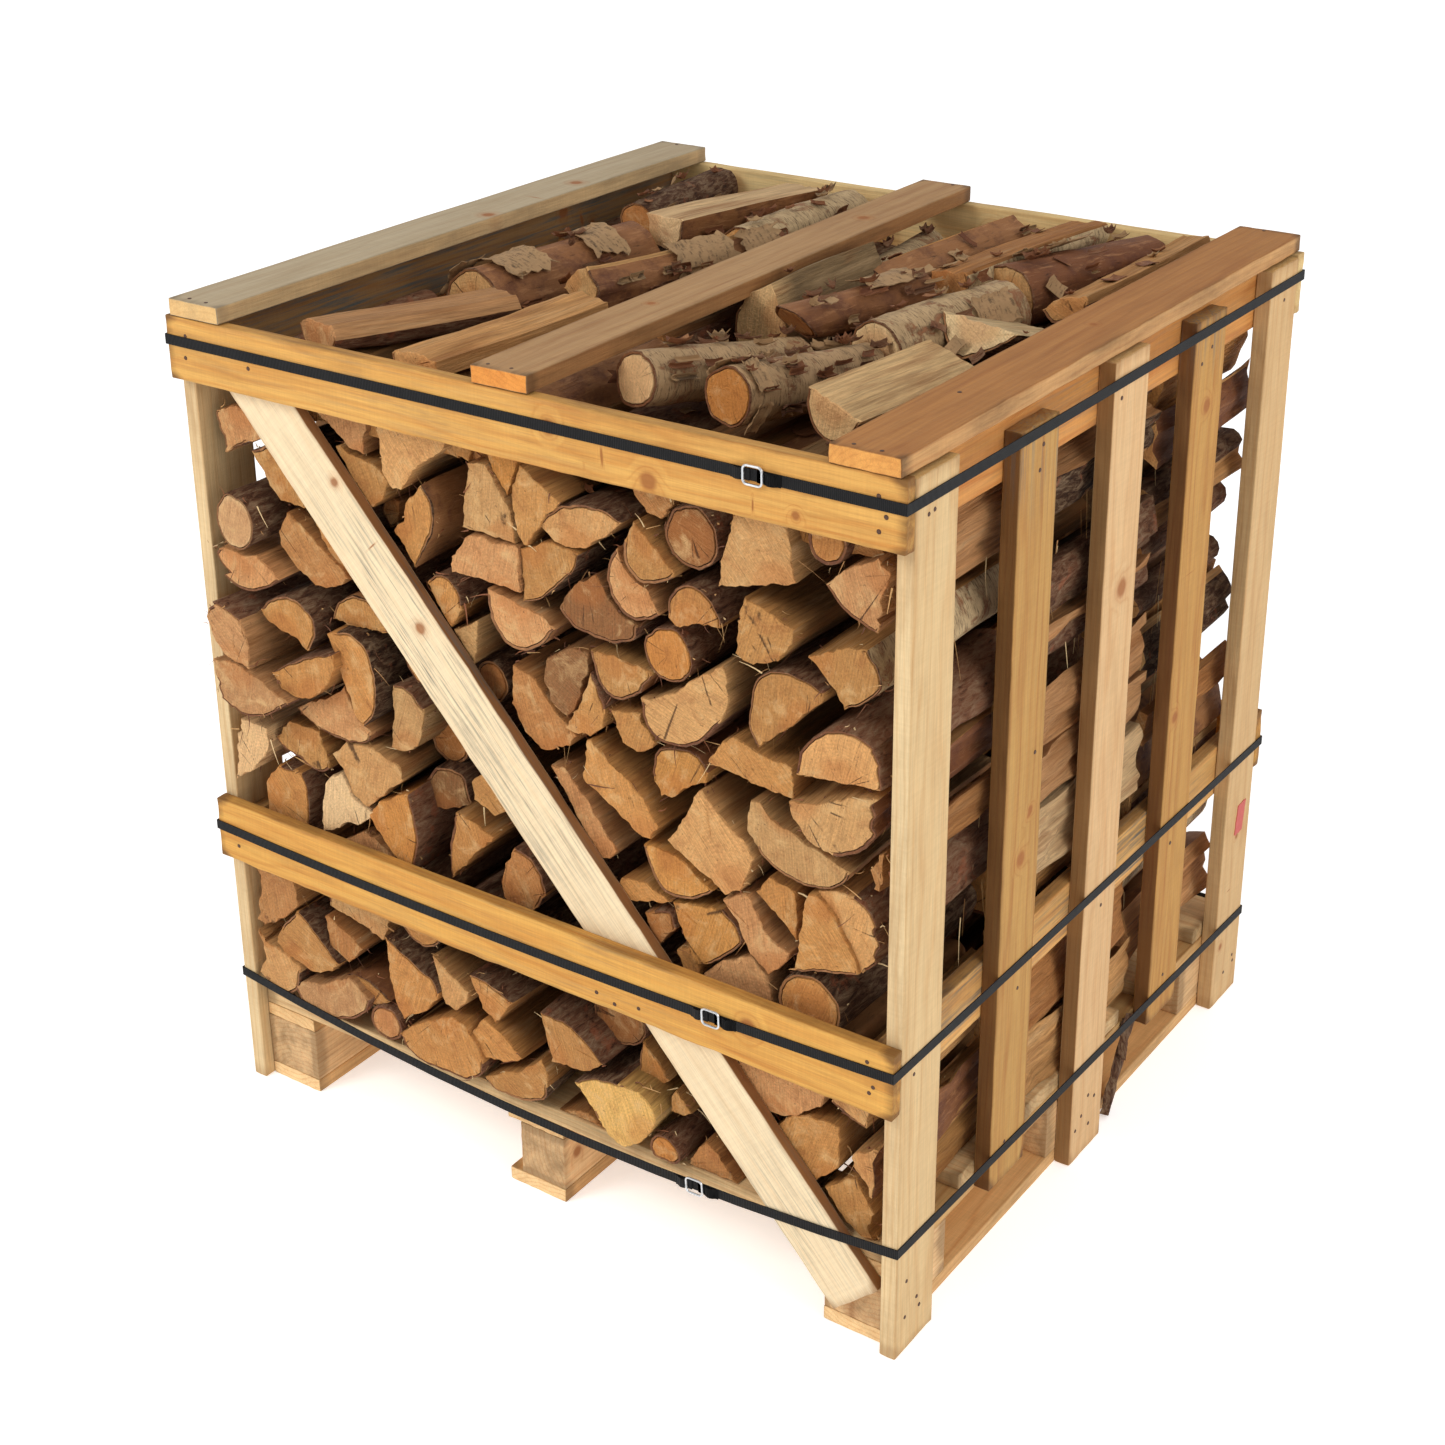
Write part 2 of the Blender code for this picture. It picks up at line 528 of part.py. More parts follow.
def row_solid(name, sections, core, front, back, relief_end):
    """One row of firewood as a single solid: its logs' section, with their ends in relief.

    The plane is cut into cells by the outlines. Each cell is a column that runs from the far face
    to its own log's end, or to the plain core, and walls close the steps between columns.
    """
    points = []
    outlines = []
    for _, corners in sections:
        outlines.append(list(range(len(points), len(points) + len(corners))))
        points += [Vector(corner) for corner in corners]
    outlines.append(list(range(len(points), len(points) + len(core))))
    points += [Vector(corner) for corner in core]
    verts, _, cells, _, _, owners = delaunay_2d_cdt(points, [], outlines, 1, 1e-6)
    core_number = len(sections)
    toward = 1.0 if relief_end == "back" else -1.0
    far_face = front if relief_end == "back" else back
    core_face = back if relief_end == "back" else front
    heights = []
    for owner in owners:
        logs = [number for number in owner if number != core_number]
        out = sections[min(logs)][0] if logs else None
        heights.append(core_face if out is None else toward * (-outline_plane + out) * step)

    shape = bmesh.new()
    made = {}

    def corner(vert, height):
        key = (vert, round(height, 6))
        if key not in made:
            made[key] = shape.verts.new((verts[vert][0], height, verts[vert][1]))
        return made[key]

    touching = {}
    levels = {}
    for number, cell in enumerate(cells):
        for place, vert in enumerate(cell):
            following = cell[(place + 1) % len(cell)]
            touching.setdefault(frozenset((vert, following)), []).append(number)
            levels.setdefault(vert, set()).update((round(heights[number], 6), round(far_face, 6)))
    for cell, height in zip(cells, heights):
        shape.faces.new([corner(vert, height) for vert in cell])
        shape.faces.new([corner(vert, far_face) for vert in reversed(cell)])
    for edge, owners_of_edge in touching.items():
        high = heights[owners_of_edge[0]]
        low = heights[owners_of_edge[1]] if len(owners_of_edge) == 2 else far_face
        if abs(high - low) < 1e-6:
            continue
        bottom, top = sorted((round(high, 6), round(low, 6)))
        first, second = tuple(edge)
        rising = [level for level in sorted(levels[first]) if bottom <= level <= top]
        falling = [level for level in sorted(levels[second], reverse=True) if bottom <= level <= top]
        shape.faces.new([corner(first, level) for level in rising]
                        + [corner(second, level) for level in falling])
    bmesh.ops.dissolve_limit(shape, angle_limit=0.002, use_dissolve_boundaries=False,
                             verts=shape.verts, edges=shape.edges)
    return add_object(name, shape, material("firewood", log_wood, 0.85))


def build_firewood():
    front = front_sections()
    core_top = 965
    core = metres([(-452, 136), (452, 136), (452, core_top), (-452, core_top)])
    front_end = -0.150
    back_start = 0.180
    between_rows = 0.0005
    core_inset = 0.048
    core_face = -outline_plane * step - core_inset
    row_solid("firewood_front_row", front, core, -core_face, front_end, "front")

    mirrored = [anticlockwise([(-x, z) for x, z in corners]) for _, corners in front]
    at_the_edge = [corners for corners in mirrored
                   if max(abs(x) for x, _ in corners) > 0.42 and max(z for _, z in corners) < 1.01]
    middle_start = front_end + between_rows
    plain_end = outline_plane - middle_start / step
    middle = [(plain_end, corners) for corners in at_the_edge]
    middle += [(out, metres(corners)) for out, corners in middle_row_top]
    row_solid("firewood_middle_row", middle, core, middle_start, back_start - between_rows, "front")

    upside_down = 1120
    turned = []
    for out, corners in front:
        corners = [keep_inside(x / step, upside_down - z / step) for x, z in corners]
        lowest = min(z for _, z in corners)
        highest = max(z for _, z in corners)
        wide_enough = max(x for x, _ in corners) - min(x for x, _ in corners) > 45
        if lowest > deck_top / step and highest < core_top and wide_enough:
            set_back = out / 3 - 10
            turned.append((min(set_back, furthest_out(corners, -1)), metres(corners)))
    turned += [(out, metres(corners)) for out, corners in back_row_top]
    row_solid("firewood_back_row", turned, core, back_start, core_face, "back")


# Logs that lie loose on top. Each is: name, middle of its front end, middle of its back end, how
# many degrees its back end dips, colour, and its corners round its axis, all as above.
def round_log(half_x, half_z):
    angles = [2 * math.pi * number / 12 for number in range(12)]
    return [(half_x * math.cos(angle), half_z * math.sin(angle)) for angle in angles]


loose_logs = (
    ("log_birch_left", (-330, -135), (-304, 160), 0, birch_bark, round_log(50, 47)),
    ("log_birch_front", (74, -345), (128, -100), 9, birch_bark, round_log(37, 35)),
    ("log_birch_flaky", (189, -335), (221, -105), 7, birch_bark, round_log(38, 36)),
    ("log_half_right", (324, -340), (343, -120), 1, log_wood,
     [(-33, 30), (38, 5), (28, -18), (0, -30), (-24, -20), (-35, 4)]),
    ("log_slab_left", (-302, -440), (-226, -205), 0, log_wood,
     [(-44, 10), (-20, 20), (30, 22), (46, 8), (30, -14), (-34, -12)]),
    ("log_slab_front", (-146, -452), (-128, -168), 0, log_wood,
     [(-36, 12), (-6, 20), (34, 14), (36, -6), (8, -14), (-32, -8)]),
    ("log_split_back", (-268, 184), (-205, 430), 0, log_wood,
     [(-40, 26), (39, 30), (31, -5), (4, -19), (-30, -12)]),
)


def lay_log(name, front_end, back_end, dip, colour, corners, resting_on):
    """Makes one log, and lets it down from above the crate until it touches what lies below."""
    run = Vector(back_end) - Vector(front_end)
    shape = bmesh.new()
    near = [shape.verts.new((x * step, -run.length * step / 2, z * step)) for x, z in corners]
    end = shape.faces.new(near)
    pulled = bmesh.ops.extrude_face_region(shape, geom=[end])
    far = [item for item in pulled["geom"] if isinstance(item, bmesh.types.BMVert)]
    bmesh.ops.translate(shape, vec=(0.0, run.length * step, 0.0), verts=far)
    lean = Matrix.Rotation(-math.radians(dip), 3, "X")
    turn = Matrix.Rotation(-math.atan2(run.x, run.y), 3, "Z")
    bmesh.ops.rotate(shape, matrix=turn @ lean, verts=shape.verts)
    middle = (Vector(front_end) + Vector(back_end)) / 2 * step
    above_crate = 1.20
    bmesh.ops.translate(shape, vec=(middle.x, middle.y, above_crate), verts=shape.verts)
    drop = 0.0005
    while not any(BVHTree.FromBMesh(shape).overlap(tree) for tree in resting_on):
        bmesh.ops.translate(shape, vec=(0.0, 0.0, -drop), verts=shape.verts)
    bmesh.ops.translate(shape, vec=(0.0, 0.0, drop), verts=shape.verts)
    resting_on.append(BVHTree.FromBMesh(shape))
    made = add_object(name, shape, material(name + "_paint", colour, 0.85))
    made.data.shade_smooth()
    made.data.set_sharp_from_angle(angle=math.radians(50))


def build_loose_logs():
    bpy.context.view_layer.update()
    resting_on = []
    for made in bpy.data.objects:
        corners = [made.matrix_world @ vert.co for vert in made.data.vertices]
        if max(corner.z for corner in corners) > 1.0:
            faces = [tuple(face.vertices) for face in made.data.polygons]
            resting_on.append(BVHTree.FromPolygons(corners, faces))
    for log in loose_logs:
        lay_log(*log, resting_on)


clear_scene()
build_pallet()
for side_name, side_sign in (("left", -1), ("right", 1)):
    build_side(side_name, side_sign)
for end_name, end_sign in (("front", -1), ("back", 1)):
    build_end(end_name, end_sign)
build_top_boards()
build_straps()
build_firewood()
build_loose_logs()
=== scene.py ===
import json
import math
import random

import bmesh
import bpy
from mathutils import Matrix, Quaternion, Vector, noise
from mathutils.bvhtree import BVHTree

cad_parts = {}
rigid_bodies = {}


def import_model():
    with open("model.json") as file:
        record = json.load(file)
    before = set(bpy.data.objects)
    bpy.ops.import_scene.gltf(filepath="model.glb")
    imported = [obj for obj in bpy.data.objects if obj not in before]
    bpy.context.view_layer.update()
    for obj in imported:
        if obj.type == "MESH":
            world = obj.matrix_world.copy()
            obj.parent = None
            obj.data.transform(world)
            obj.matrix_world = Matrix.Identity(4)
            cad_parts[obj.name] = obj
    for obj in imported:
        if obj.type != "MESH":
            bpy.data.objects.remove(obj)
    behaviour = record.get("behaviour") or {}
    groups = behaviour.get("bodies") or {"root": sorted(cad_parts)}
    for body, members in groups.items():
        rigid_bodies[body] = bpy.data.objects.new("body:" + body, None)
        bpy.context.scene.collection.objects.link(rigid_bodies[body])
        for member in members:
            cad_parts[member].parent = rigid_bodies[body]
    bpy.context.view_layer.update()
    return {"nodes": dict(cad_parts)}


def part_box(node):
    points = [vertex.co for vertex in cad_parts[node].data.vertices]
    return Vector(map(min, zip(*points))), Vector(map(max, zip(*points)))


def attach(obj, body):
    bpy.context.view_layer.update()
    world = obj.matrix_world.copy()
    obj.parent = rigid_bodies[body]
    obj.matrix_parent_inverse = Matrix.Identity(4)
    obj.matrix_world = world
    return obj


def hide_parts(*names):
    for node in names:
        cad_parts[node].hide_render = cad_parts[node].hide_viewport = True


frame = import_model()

# Outlines of the logs are written in thousandths of the crate's width, as they look from an eye
# in front of the crate, on a plane just behind the front boards
crate = {
    "wide": 1.050,
    "deep": 1.020,
    "step": 0.00105,
    "eye": (1552, -2300, 1850),
    "outlinePlane": -450,
    "railTop": 1.115,
    "railBack": 0.492,
    "deckTop": 0.140,
    "braceHigh": (-0.437, 1.078),
    "braceLow": (0.470, 0.063),
    "braceWide": 0.085,
}

cameraView = {
    "azimuth": 34.912,
    "elevation": 23.572,
    "roll": -0.549,
    "target": (0.0, -0.0794, 0.7009),
    "distance": 3.1067,
    "lens": 59.12,
    "shiftY": -0.083,
}

studio = {
    "skyStrength": 0.70,
    "keyPower": 76.0,
    "keyPlace": (-1.6, -3.4, 3.6),
    "keySize": 1.5,
    "sidePower": 45.0,
    "sidePlace": (3.6, -0.8, 2.4),
    "sideSize": 2.4,
    "aim": (0.0, 0.0, 0.55),
    "floorSize": 60.0,
    "floorGlow": 0.46,
}


def linear(hexColour):
    parts = [int(hexColour[place:place + 2], 16) / 255 for place in (0, 2, 4)]
    return tuple(part / 12.92 if part <= 0.04045 else ((part + 0.055) / 1.055) ** 2.4 for part in parts)


def paint(hexColour):
    return (*linear(hexColour), 1.0)


def noiseAt(*place):
    return noise.noise(Vector(place))


# Inputs are given in order or by name, and an output of another node is linked
def setInputs(node, inputs):
    for key, part in inputs.items() if isinstance(inputs, dict) else enumerate(inputs):
        if isinstance(part, bpy.types.NodeSocket):
            node.id_data.links.new(part, node.inputs[key])
        else:
            node.inputs[key].default_value = part


def addNode(tree, kind, inputs=(), output=0, **settings):
    node = tree.nodes.new("ShaderNode" + kind)
    for name, value in settings.items():
        setattr(node, name, value)
    setInputs(node, inputs)
    return node.outputs[output]


# Lays a colour where a pattern goes from low to high: its share goes from least to most
def stainWhere(tree, colour, pattern, low, high, least, most, shade, **settings):
    share = addNode(tree, "MapRange", (pattern, low, high, least, most), **settings)
    return addNode(tree, "Mix", {0: share, 6: colour, 7: paint(shade)}, 2, data_type="RGBA")


# What is stored at each point of a piece for its material: the output that gives it
markOutputs = {"grain": "Vector", "knot": "Vector", "saw": "Vector", "tint": "Color", "edge": "Fac",
               "mould": "Fac", "luck": "Fac"}


def newMaterial(name, *marks):
    made = bpy.data.materials.new(name)
    made.use_nodes = True
    tree = made.node_tree
    read = [addNode(tree, "Attribute", (), markOutputs[mark], attribute_name=mark) for mark in marks]
    return made, tree, tree.nodes["Principled BSDF"], *read


# Sawn softwood: the saw leaves fine lines, the rings show as bands along the grain, knots are darker
def makeBoardMaterial(name, look):
    made, tree, shader, grain, knot, edge, mould, tint = newMaterial(name, "grain", "knot", "edge", "mould", "tint")
    knotFar = addNode(tree, "VectorMath", (knot,), "Value", operation="LENGTH")
    knotPull = addNode(tree, "MapRange", (knotFar, 0.4, 3.2, 1.0, 0.0), interpolation_type="SMOOTHSTEP")
    # Patterns are stretched along the grain: fibres are about 1.5 mm wide and some centimetres long,
    # and saw lines lie across the board, about 3 mm apart
    patterns = {}
    for mark, stretch, detail, roughness in (
            ("drift", (2.2, 14.0, 14.0), 3.0, 0.5), ("fibre", (16.0, 620.0, 620.0), 4.0, 0.6),
            ("streak", (3.0, 90.0, 90.0), 5.0, 0.65), ("saw", (330.0, 22.0, 22.0), 2.0, 0.5),
            ("blotch", (5.0, 26.0, 26.0), 6.0, 0.7), ("mouldAt", (9.0, 240.0, 240.0), 5.0, 0.6)):
        place = addNode(tree, "VectorMath", (grain, stretch), operation="MULTIPLY")
        patterns[mark] = addNode(tree, "TexNoise", {"Vector": place, "Scale": 1.0, "Detail": detail,
                                                    "Roughness": roughness})
    fibre, streak, saw, blotch = (patterns[mark] for mark in ("fibre", "streak", "saw", "blotch"))
    across = addNode(tree, "VectorMath", (grain, (0.0, 1.0, 1.0)), operation="MULTIPLY")
    fromPith = addNode(tree, "VectorMath", (across,), "Value", operation="LENGTH")
    wander = addNode(tree, "Math", (patterns["drift"], 0.030), operation="MULTIPLY")
    bulge = addNode(tree, "Math", (knotPull, 0.013), operation="MULTIPLY")
    distance = addNode(tree, "Math", (fromPith, wander), operation="ADD")
    distance = addNode(tree, "Math", (distance, bulge), operation="ADD")
    # Real rings are 2 to 4 mm apart, and are drawn wider than that so that they show
    turns = addNode(tree, "Math", (distance, 2 * math.pi / look["ring"]), operation="MULTIPLY")
    wave = addNode(tree, "Math", (turns,), operation="SINE")
    ring = addNode(tree, "MapRange", (wave, -0.2, 1.0, 0.0, 1.0))
    ring = addNode(tree, "Math", (ring, 2.6), operation="POWER")
    amount = addNode(tree, "Math", (ring, look["ringDepth"]), operation="MULTIPLY")
    streaks = addNode(tree, "MapRange", (streak, 0.42, 0.78, 0.0, look["streakDepth"]))
    amount = addNode(tree, "Math", (amount, streaks), operation="ADD", use_clamp=True)
    late = addNode(tree, "Mix", {0: 1.0, 6: tint, 7: paint(look["late"])}, 2, data_type="RGBA",
                   blend_type="MULTIPLY")
    colour = addNode(tree, "Mix", {0: amount, 6: tint, 7: late}, 2, data_type="RGBA")
    fine = addNode(tree, "MapRange", (fibre, 0.25, 0.75, 0.84, 1.12))
    lines = addNode(tree, "MapRange", (saw, 0.3, 0.7, 1.0 - look["sawDepth"], 1.0 + look["sawDepth"]))
    shade = addNode(tree, "Math", (fine, lines), operation="MULTIPLY")
    colour = addNode(tree, "VectorMath", {0: colour, "Scale": shade}, operation="SCALE")
    # Weather and dirt in soft patches, and blue-grey mould in thin streaks where the board has it
    colour = stainWhere(tree, colour, blotch, 0.50, 0.74, 0.0, look["stain"], look["stainColour"])
    mouldAt = addNode(tree, "Math", (blotch, 0.5, patterns["mouldAt"]), operation="MULTIPLY_ADD")
    mouldAt = addNode(tree, "MapRange", (mouldAt, 0.72, 0.96))
    mould = addNode(tree, "Math", (mould, mouldAt), operation="MULTIPLY")
    colour = addNode(tree, "Mix", {0: mould, 6: colour, 7: paint("5c625f")}, 2, data_type="RGBA")
    raggedFar = addNode(tree, "Math", (streak, 0.9, knotFar), operation="MULTIPLY_ADD")
    knotShare = addNode(tree, "MapRange", (raggedFar, 1.15, 1.75, 0.80, 0.0))
    knotColour = addNode(tree, "Mix", {0: streak, 6: paint("9a5c2c"), 7: paint("6e3c1a")}, 2, data_type="RGBA")
    colour = addNode(tree, "Mix", {0: knotShare, 6: colour, 7: knotColour}, 2, data_type="RGBA")
    colour = stainWhere(tree, colour, knotFar, 1.0, 2.6, 0.30, 0.0, "a8642c")
    # Corners and ends are knocked and dirty
    worn = addNode(tree, "Math", (edge, blotch), operation="MULTIPLY")
    colour = stainWhere(tree, colour, worn, 0.25, 0.65, 0.0, look["edge"], look["edgeColour"])
    rough = addNode(tree, "MapRange", (fibre, 0.0, 1.0, 0.62, 0.9))
    height = addNode(tree, "Math", (saw, 0.25, fibre), operation="MULTIPLY_ADD")
    bump = addNode(tree, "Bump", {"Strength": look["bump"], "Distance": 0.0012, "Height": height})
    setInputs(shader, {"Base Color": colour, "Roughness": rough, "Specular IOR Level": 0.3, "Normal": bump})
    return made


boardLooks = {
    "spruceStraw": {"ring": 0.0072, "ringDepth": 0.20, "streakDepth": 0.24, "sawDepth": 0.03, "late": "d8a868",
                    "stain": 0.30, "stainColour": "a87c48", "edge": 0.5, "edgeColour": "8c6236", "bump": 0.5},
    "pineHoney": {"ring": 0.0070, "ringDepth": 0.22, "streakDepth": 0.50, "sawDepth": 0.03, "late": "c88e44",
                  "stain": 0.50, "stainColour": "9a6a30", "edge": 0.8, "edgeColour": "5c3a1a", "bump": 0.45},
    "spruceBrace": {"ring": 0.0090, "ringDepth": 0.10, "streakDepth": 0.16, "sawDepth": 0.03, "late": "e0b888",
                    "stain": 0.30, "stainColour": "b89a72", "edge": 0.7, "edgeColour": "8a5c30", "bump": 0.5},
    "pineGrey": {"ring": 0.0080, "ringDepth": 0.12, "streakDepth": 0.26, "sawDepth": 0.03, "late": "c09868",
                 "stain": 0.40, "stainColour": "9a8462", "edge": 0.5, "edgeColour": "5c5040", "bump": 0.5},
    "pineBrown": {"ring": 0.0070, "ringDepth": 0.14, "streakDepth": 0.36, "sawDepth": 0.03, "late": "b07440",
                  "stain": 0.36, "stainColour": "805428", "edge": 0.7, "edgeColour": "47301a", "bump": 0.5},
    "palletPine": {"ring": 0.0072, "ringDepth": 0.26, "streakDepth": 0.30, "sawDepth": 0.04, "late": "cf9654",
                   "stain": 0.28, "stainColour": "9a7440", "edge": 0.6, "edgeColour": "5c4224", "bump": 0.5},
}


# Birch and oak cross-cut by a saw: fine parallel lines, faint rings, rays from the pith, red heart streaks
def makeEndMaterial():
    made, tree, shader, grain, sawLine, tint, luck = newMaterial("firewood_saw_cut", "grain", "saw", "tint", "luck")
    across = addNode(tree, "VectorMath", (grain, (1.0, 0.0, 1.0)), operation="MULTIPLY")
    fromPith = addNode(tree, "VectorMath", (across,), "Value", operation="LENGTH")
    broad = addNode(tree, "TexNoise", {"Vector": grain, "Scale": 26.0, "Detail": 5.0, "Roughness": 0.62})
    bend = addNode(tree, "Math", (broad, 0.014, fromPith), operation="MULTIPLY_ADD")
    # Rings are about 2 mm apart, and are drawn 4.5 mm apart so that they show
    turns = addNode(tree, "Math", (bend, 2 * math.pi / 0.0045), operation="MULTIPLY")
    ring = addNode(tree, "Math", (turns,), operation="SINE")
    shade = addNode(tree, "MapRange", (ring, -1.0, 1.0, 0.95, 1.03))
    lines = addNode(tree, "VectorMath", (sawLine, (560.0, 18.0, 1.0)), operation="MULTIPLY")
    saw = addNode(tree, "TexNoise", {"Vector": lines, "Scale": 1.0, "Detail": 3.0, "Roughness": 0.6})
    heading = addNode(tree, "VectorMath", (across,), operation="NORMALIZE")
    ray = addNode(tree, "TexNoise", {"Vector": heading, "Scale": 13.0, "Detail": 4.0, "Roughness": 0.75})
    grit = addNode(tree, "TexNoise", {"Vector": grain, "Scale": 380.0, "Detail": 4.0, "Roughness": 0.7})
    for pattern, low, high, dark, light in ((grit, 0.28, 0.72, 0.76, 1.20), (saw, 0.25, 0.75, 0.72, 1.22),
                                            (ray, 0.28, 0.42, 0.74, 1.0)):
        lightness = addNode(tree, "MapRange", (pattern, low, high, dark, light))
        shade = addNode(tree, "Math", (shade, lightness), operation="MULTIPLY")
    colour = addNode(tree, "VectorMath", {0: tint, "Scale": shade}, operation="SCALE")
    colour = stainWhere(tree, colour, bend, 0.030, 0.046, 0.34, 0.0, "b86c30", interpolation_type="SMOOTHSTEP")
    stainAt = addNode(tree, "TexNoise", {"Vector": grain, "Scale": 34.0, "Detail": 6.0, "Roughness": 0.7,
                                         "Distortion": 0.6})
    colour = stainWhere(tree, colour, stainAt, 0.54, 0.76, 0.0, 0.62, "8c4a22")
    colour = stainWhere(tree, colour, stainAt, 0.48, 0.30, 0.0, 0.60, "e0b880")
    speck = addNode(tree, "TexNoise", {"Vector": grain, "Scale": 230.0, "Detail": 2.0})
    colour = stainWhere(tree, colour, speck, 0.69, 0.75, 0.0, 0.5, "4a2a14")
    # Dry cracks that run from the pith, in some logs
    spoke = addNode(tree, "Math", (luck, 31.0), operation="MULTIPLY")
    spoke = addNode(tree, "VectorMath", (heading, spoke), operation="ADD")
    spoke = addNode(tree, "TexNoise", {"Vector": spoke, "Scale": 1.5, "Detail": 0.0})
    spoke = addNode(tree, "Math", (spoke, 0.5), operation="SUBTRACT")
    spoke = addNode(tree, "Math", (spoke,), operation="ABSOLUTE")
    wander = addNode(tree, "Math", (saw, 0.012, -0.006), operation="MULTIPLY_ADD")
    spoke = addNode(tree, "Math", (spoke, wander), operation="ADD")
    crack = addNode(tree, "MapRange", (spoke, 0.002, 0.008, 0.8, 0.0))
    some = addNode(tree, "Math", (luck, 0.45), operation="GREATER_THAN")
    reach = addNode(tree, "MapRange", (broad, 0.50, 0.56, 0.0, 1.0))
    crack = addNode(tree, "Math", (crack, some), operation="MULTIPLY")
    crack = addNode(tree, "Math", (crack, reach), operation="MULTIPLY")
    colour = addNode(tree, "Mix", {0: crack, 6: colour, 7: paint("3a2010")}, 2, data_type="RGBA")
    height = saw
    for pattern, weight in ((broad, 1.6), (grit, 0.7), (crack, -0.8)):
        height = addNode(tree, "Math", (pattern, weight, height), operation="MULTIPLY_ADD")
    bump = addNode(tree, "Bump", {"Strength": 0.9, "Distance": 0.0032, "Height": height})
    setInputs(shader, {"Base Color": colour, "Roughness": 0.82, "Specular IOR Level": 0.25, "Normal": bump})
    return made


# Wood that was split along the grain: torn fibres in long ridges, lighter on top, brown in the dips
def makeSplitMaterial():
    made, tree, shader, grain, tint = newMaterial("firewood_split_face", "grain", "tint")
    long = addNode(tree, "VectorMath", (grain, (300.0, 9.0, 300.0)), operation="MULTIPLY")
    fibre = addNode(tree, "TexNoise", {"Vector": long, "Scale": 1.0, "Detail": 6.0, "Roughness": 0.7})
    wide = addNode(tree, "VectorMath", (grain, (50.0, 5.0, 50.0)), operation="MULTIPLY")
    bands = addNode(tree, "TexNoise", {"Vector": wide, "Scale": 1.0, "Detail": 4.0, "Roughness": 0.6})
    shade = addNode(tree, "MapRange", (fibre, 0.25, 0.75, 0.40, 1.20))
    colour = addNode(tree, "VectorMath", {0: tint, "Scale": shade}, operation="SCALE")
    colour = stainWhere(tree, colour, bands, 0.50, 0.70, 0.0, 0.65, "8a5428")
    colour = stainWhere(tree, colour, bands, 0.42, 0.26, 0.0, 0.40, "dcb888")
    bump = addNode(tree, "Bump", {"Strength": 1.0, "Distance": 0.0045, "Height": fibre})
    setInputs(shader, {"Base Color": colour, "Roughness": 0.85, "Specular IOR Level": 0.25, "Normal": bump})
    return made


# Oak and old birch bark: furrows along the log, red-brown inside, grey on the ridges
def makeDarkBarkMaterial():
    made, tree, shader, grain, luck = newMaterial("oak_bark", "grain", "luck")
    long = addNode(tree, "VectorMath", (grain, (150.0, 42.0, 150.0)), operation="MULTIPLY")
    furrow = addNode(tree, "TexNoise", {"Vector": long, "Scale": 1.0, "Detail": 8.0, "Roughness": 0.72,
                                        "Distortion": 0.6})
    patch = addNode(tree, "TexNoise", {"Vector": grain, "Scale": 22.0, "Detail": 5.0, "Roughness": 0.65})
    base = addNode(tree, "Mix", {0: luck, 6: paint("402818"), 7: paint("7a5038")}, 2, data_type="RGBA")
    ridge = addNode(tree, "MapRange", (furrow, 0.46, 0.70, 0.0, 0.75))
    light = addNode(tree, "Mix", {0: patch, 6: paint("96704e"), 7: paint("a8967a")}, 2, data_type="RGBA")
    colour = addNode(tree, "Mix", {0: ridge, 6: base, 7: light}, 2, data_type="RGBA")
    colour = stainWhere(tree, colour, furrow, 0.45, 0.33, 0.0, 0.85, "1c120c")
    colour = stainWhere(tree, colour, patch, 0.60, 0.66, 0.0, 0.6, "9a5a3c")
    bump = addNode(tree, "Bump", {"Strength": 1.0, "Distance": 0.0060, "Height": furrow})
    setInputs(shader, {"Base Color": colour, "Roughness": 0.9, "Specular IOR Level": 0.2, "Normal": bump})
    return made


# Birch bark: thin grey-white skin in torn layers, fine dark lines round the log, red-brown under it
def makeBirchBarkMaterial():
    made, tree, shader, grain, luck = newMaterial("birch_bark", "grain", "luck")
    dashAt = addNode(tree, "VectorMath", (grain, (75.0, 460.0, 75.0)), operation="MULTIPLY")
    dash = addNode(tree, "TexNoise", {"Vector": dashAt, "Scale": 1.0, "Detail": 5.0, "Roughness": 0.65})
    cloud = addNode(tree, "TexNoise", {"Vector": grain, "Scale": 45.0, "Detail": 8.0, "Roughness": 0.75,
                                       "Distortion": 0.5})
    patch = addNode(tree, "TexNoise", {"Vector": grain, "Scale": 21.0, "Detail": 9.0, "Roughness": 0.74,
                                       "Distortion": 0.9})
    skin = addNode(tree, "Mix", {0: luck, 6: paint("c8ae84"), 7: paint("a6835c")}, 2, data_type="RGBA")
    skin = stainWhere(tree, skin, cloud, 0.40, 0.66, 0.0, 0.62, "8c7250")
    colour = stainWhere(tree, skin, dash, 0.52, 0.66, 0.0, 0.8, "3c2c1e")
    torn = addNode(tree, "MapRange", (patch, 0.53, 0.61, 0.0, 0.90))
    whole = addNode(tree, "Math", (luck, 1.0), operation="LESS_THAN")
    torn = addNode(tree, "Math", (torn, whole), operation="MULTIPLY")
    under = addNode(tree, "Mix", {0: cloud, 6: paint("a86e46"), 7: paint("5e3824")}, 2, data_type="RGBA")
    colour = addNode(tree, "Mix", {0: torn, 6: colour, 7: under}, 2, data_type="RGBA")
    height = addNode(tree, "Math", (torn, -0.6, dash), operation="MULTIPLY_ADD")
    height = addNode(tree, "Math", (height, cloud), operation="ADD")
    bump = addNode(tree, "Bump", {"Strength": 0.9, "Distance": 0.0020, "Height": height})
    setInputs(shader, {"Base Color": colour, "Roughness": 0.75, "Specular IOR Level": 0.3, "Normal": bump})
    return made


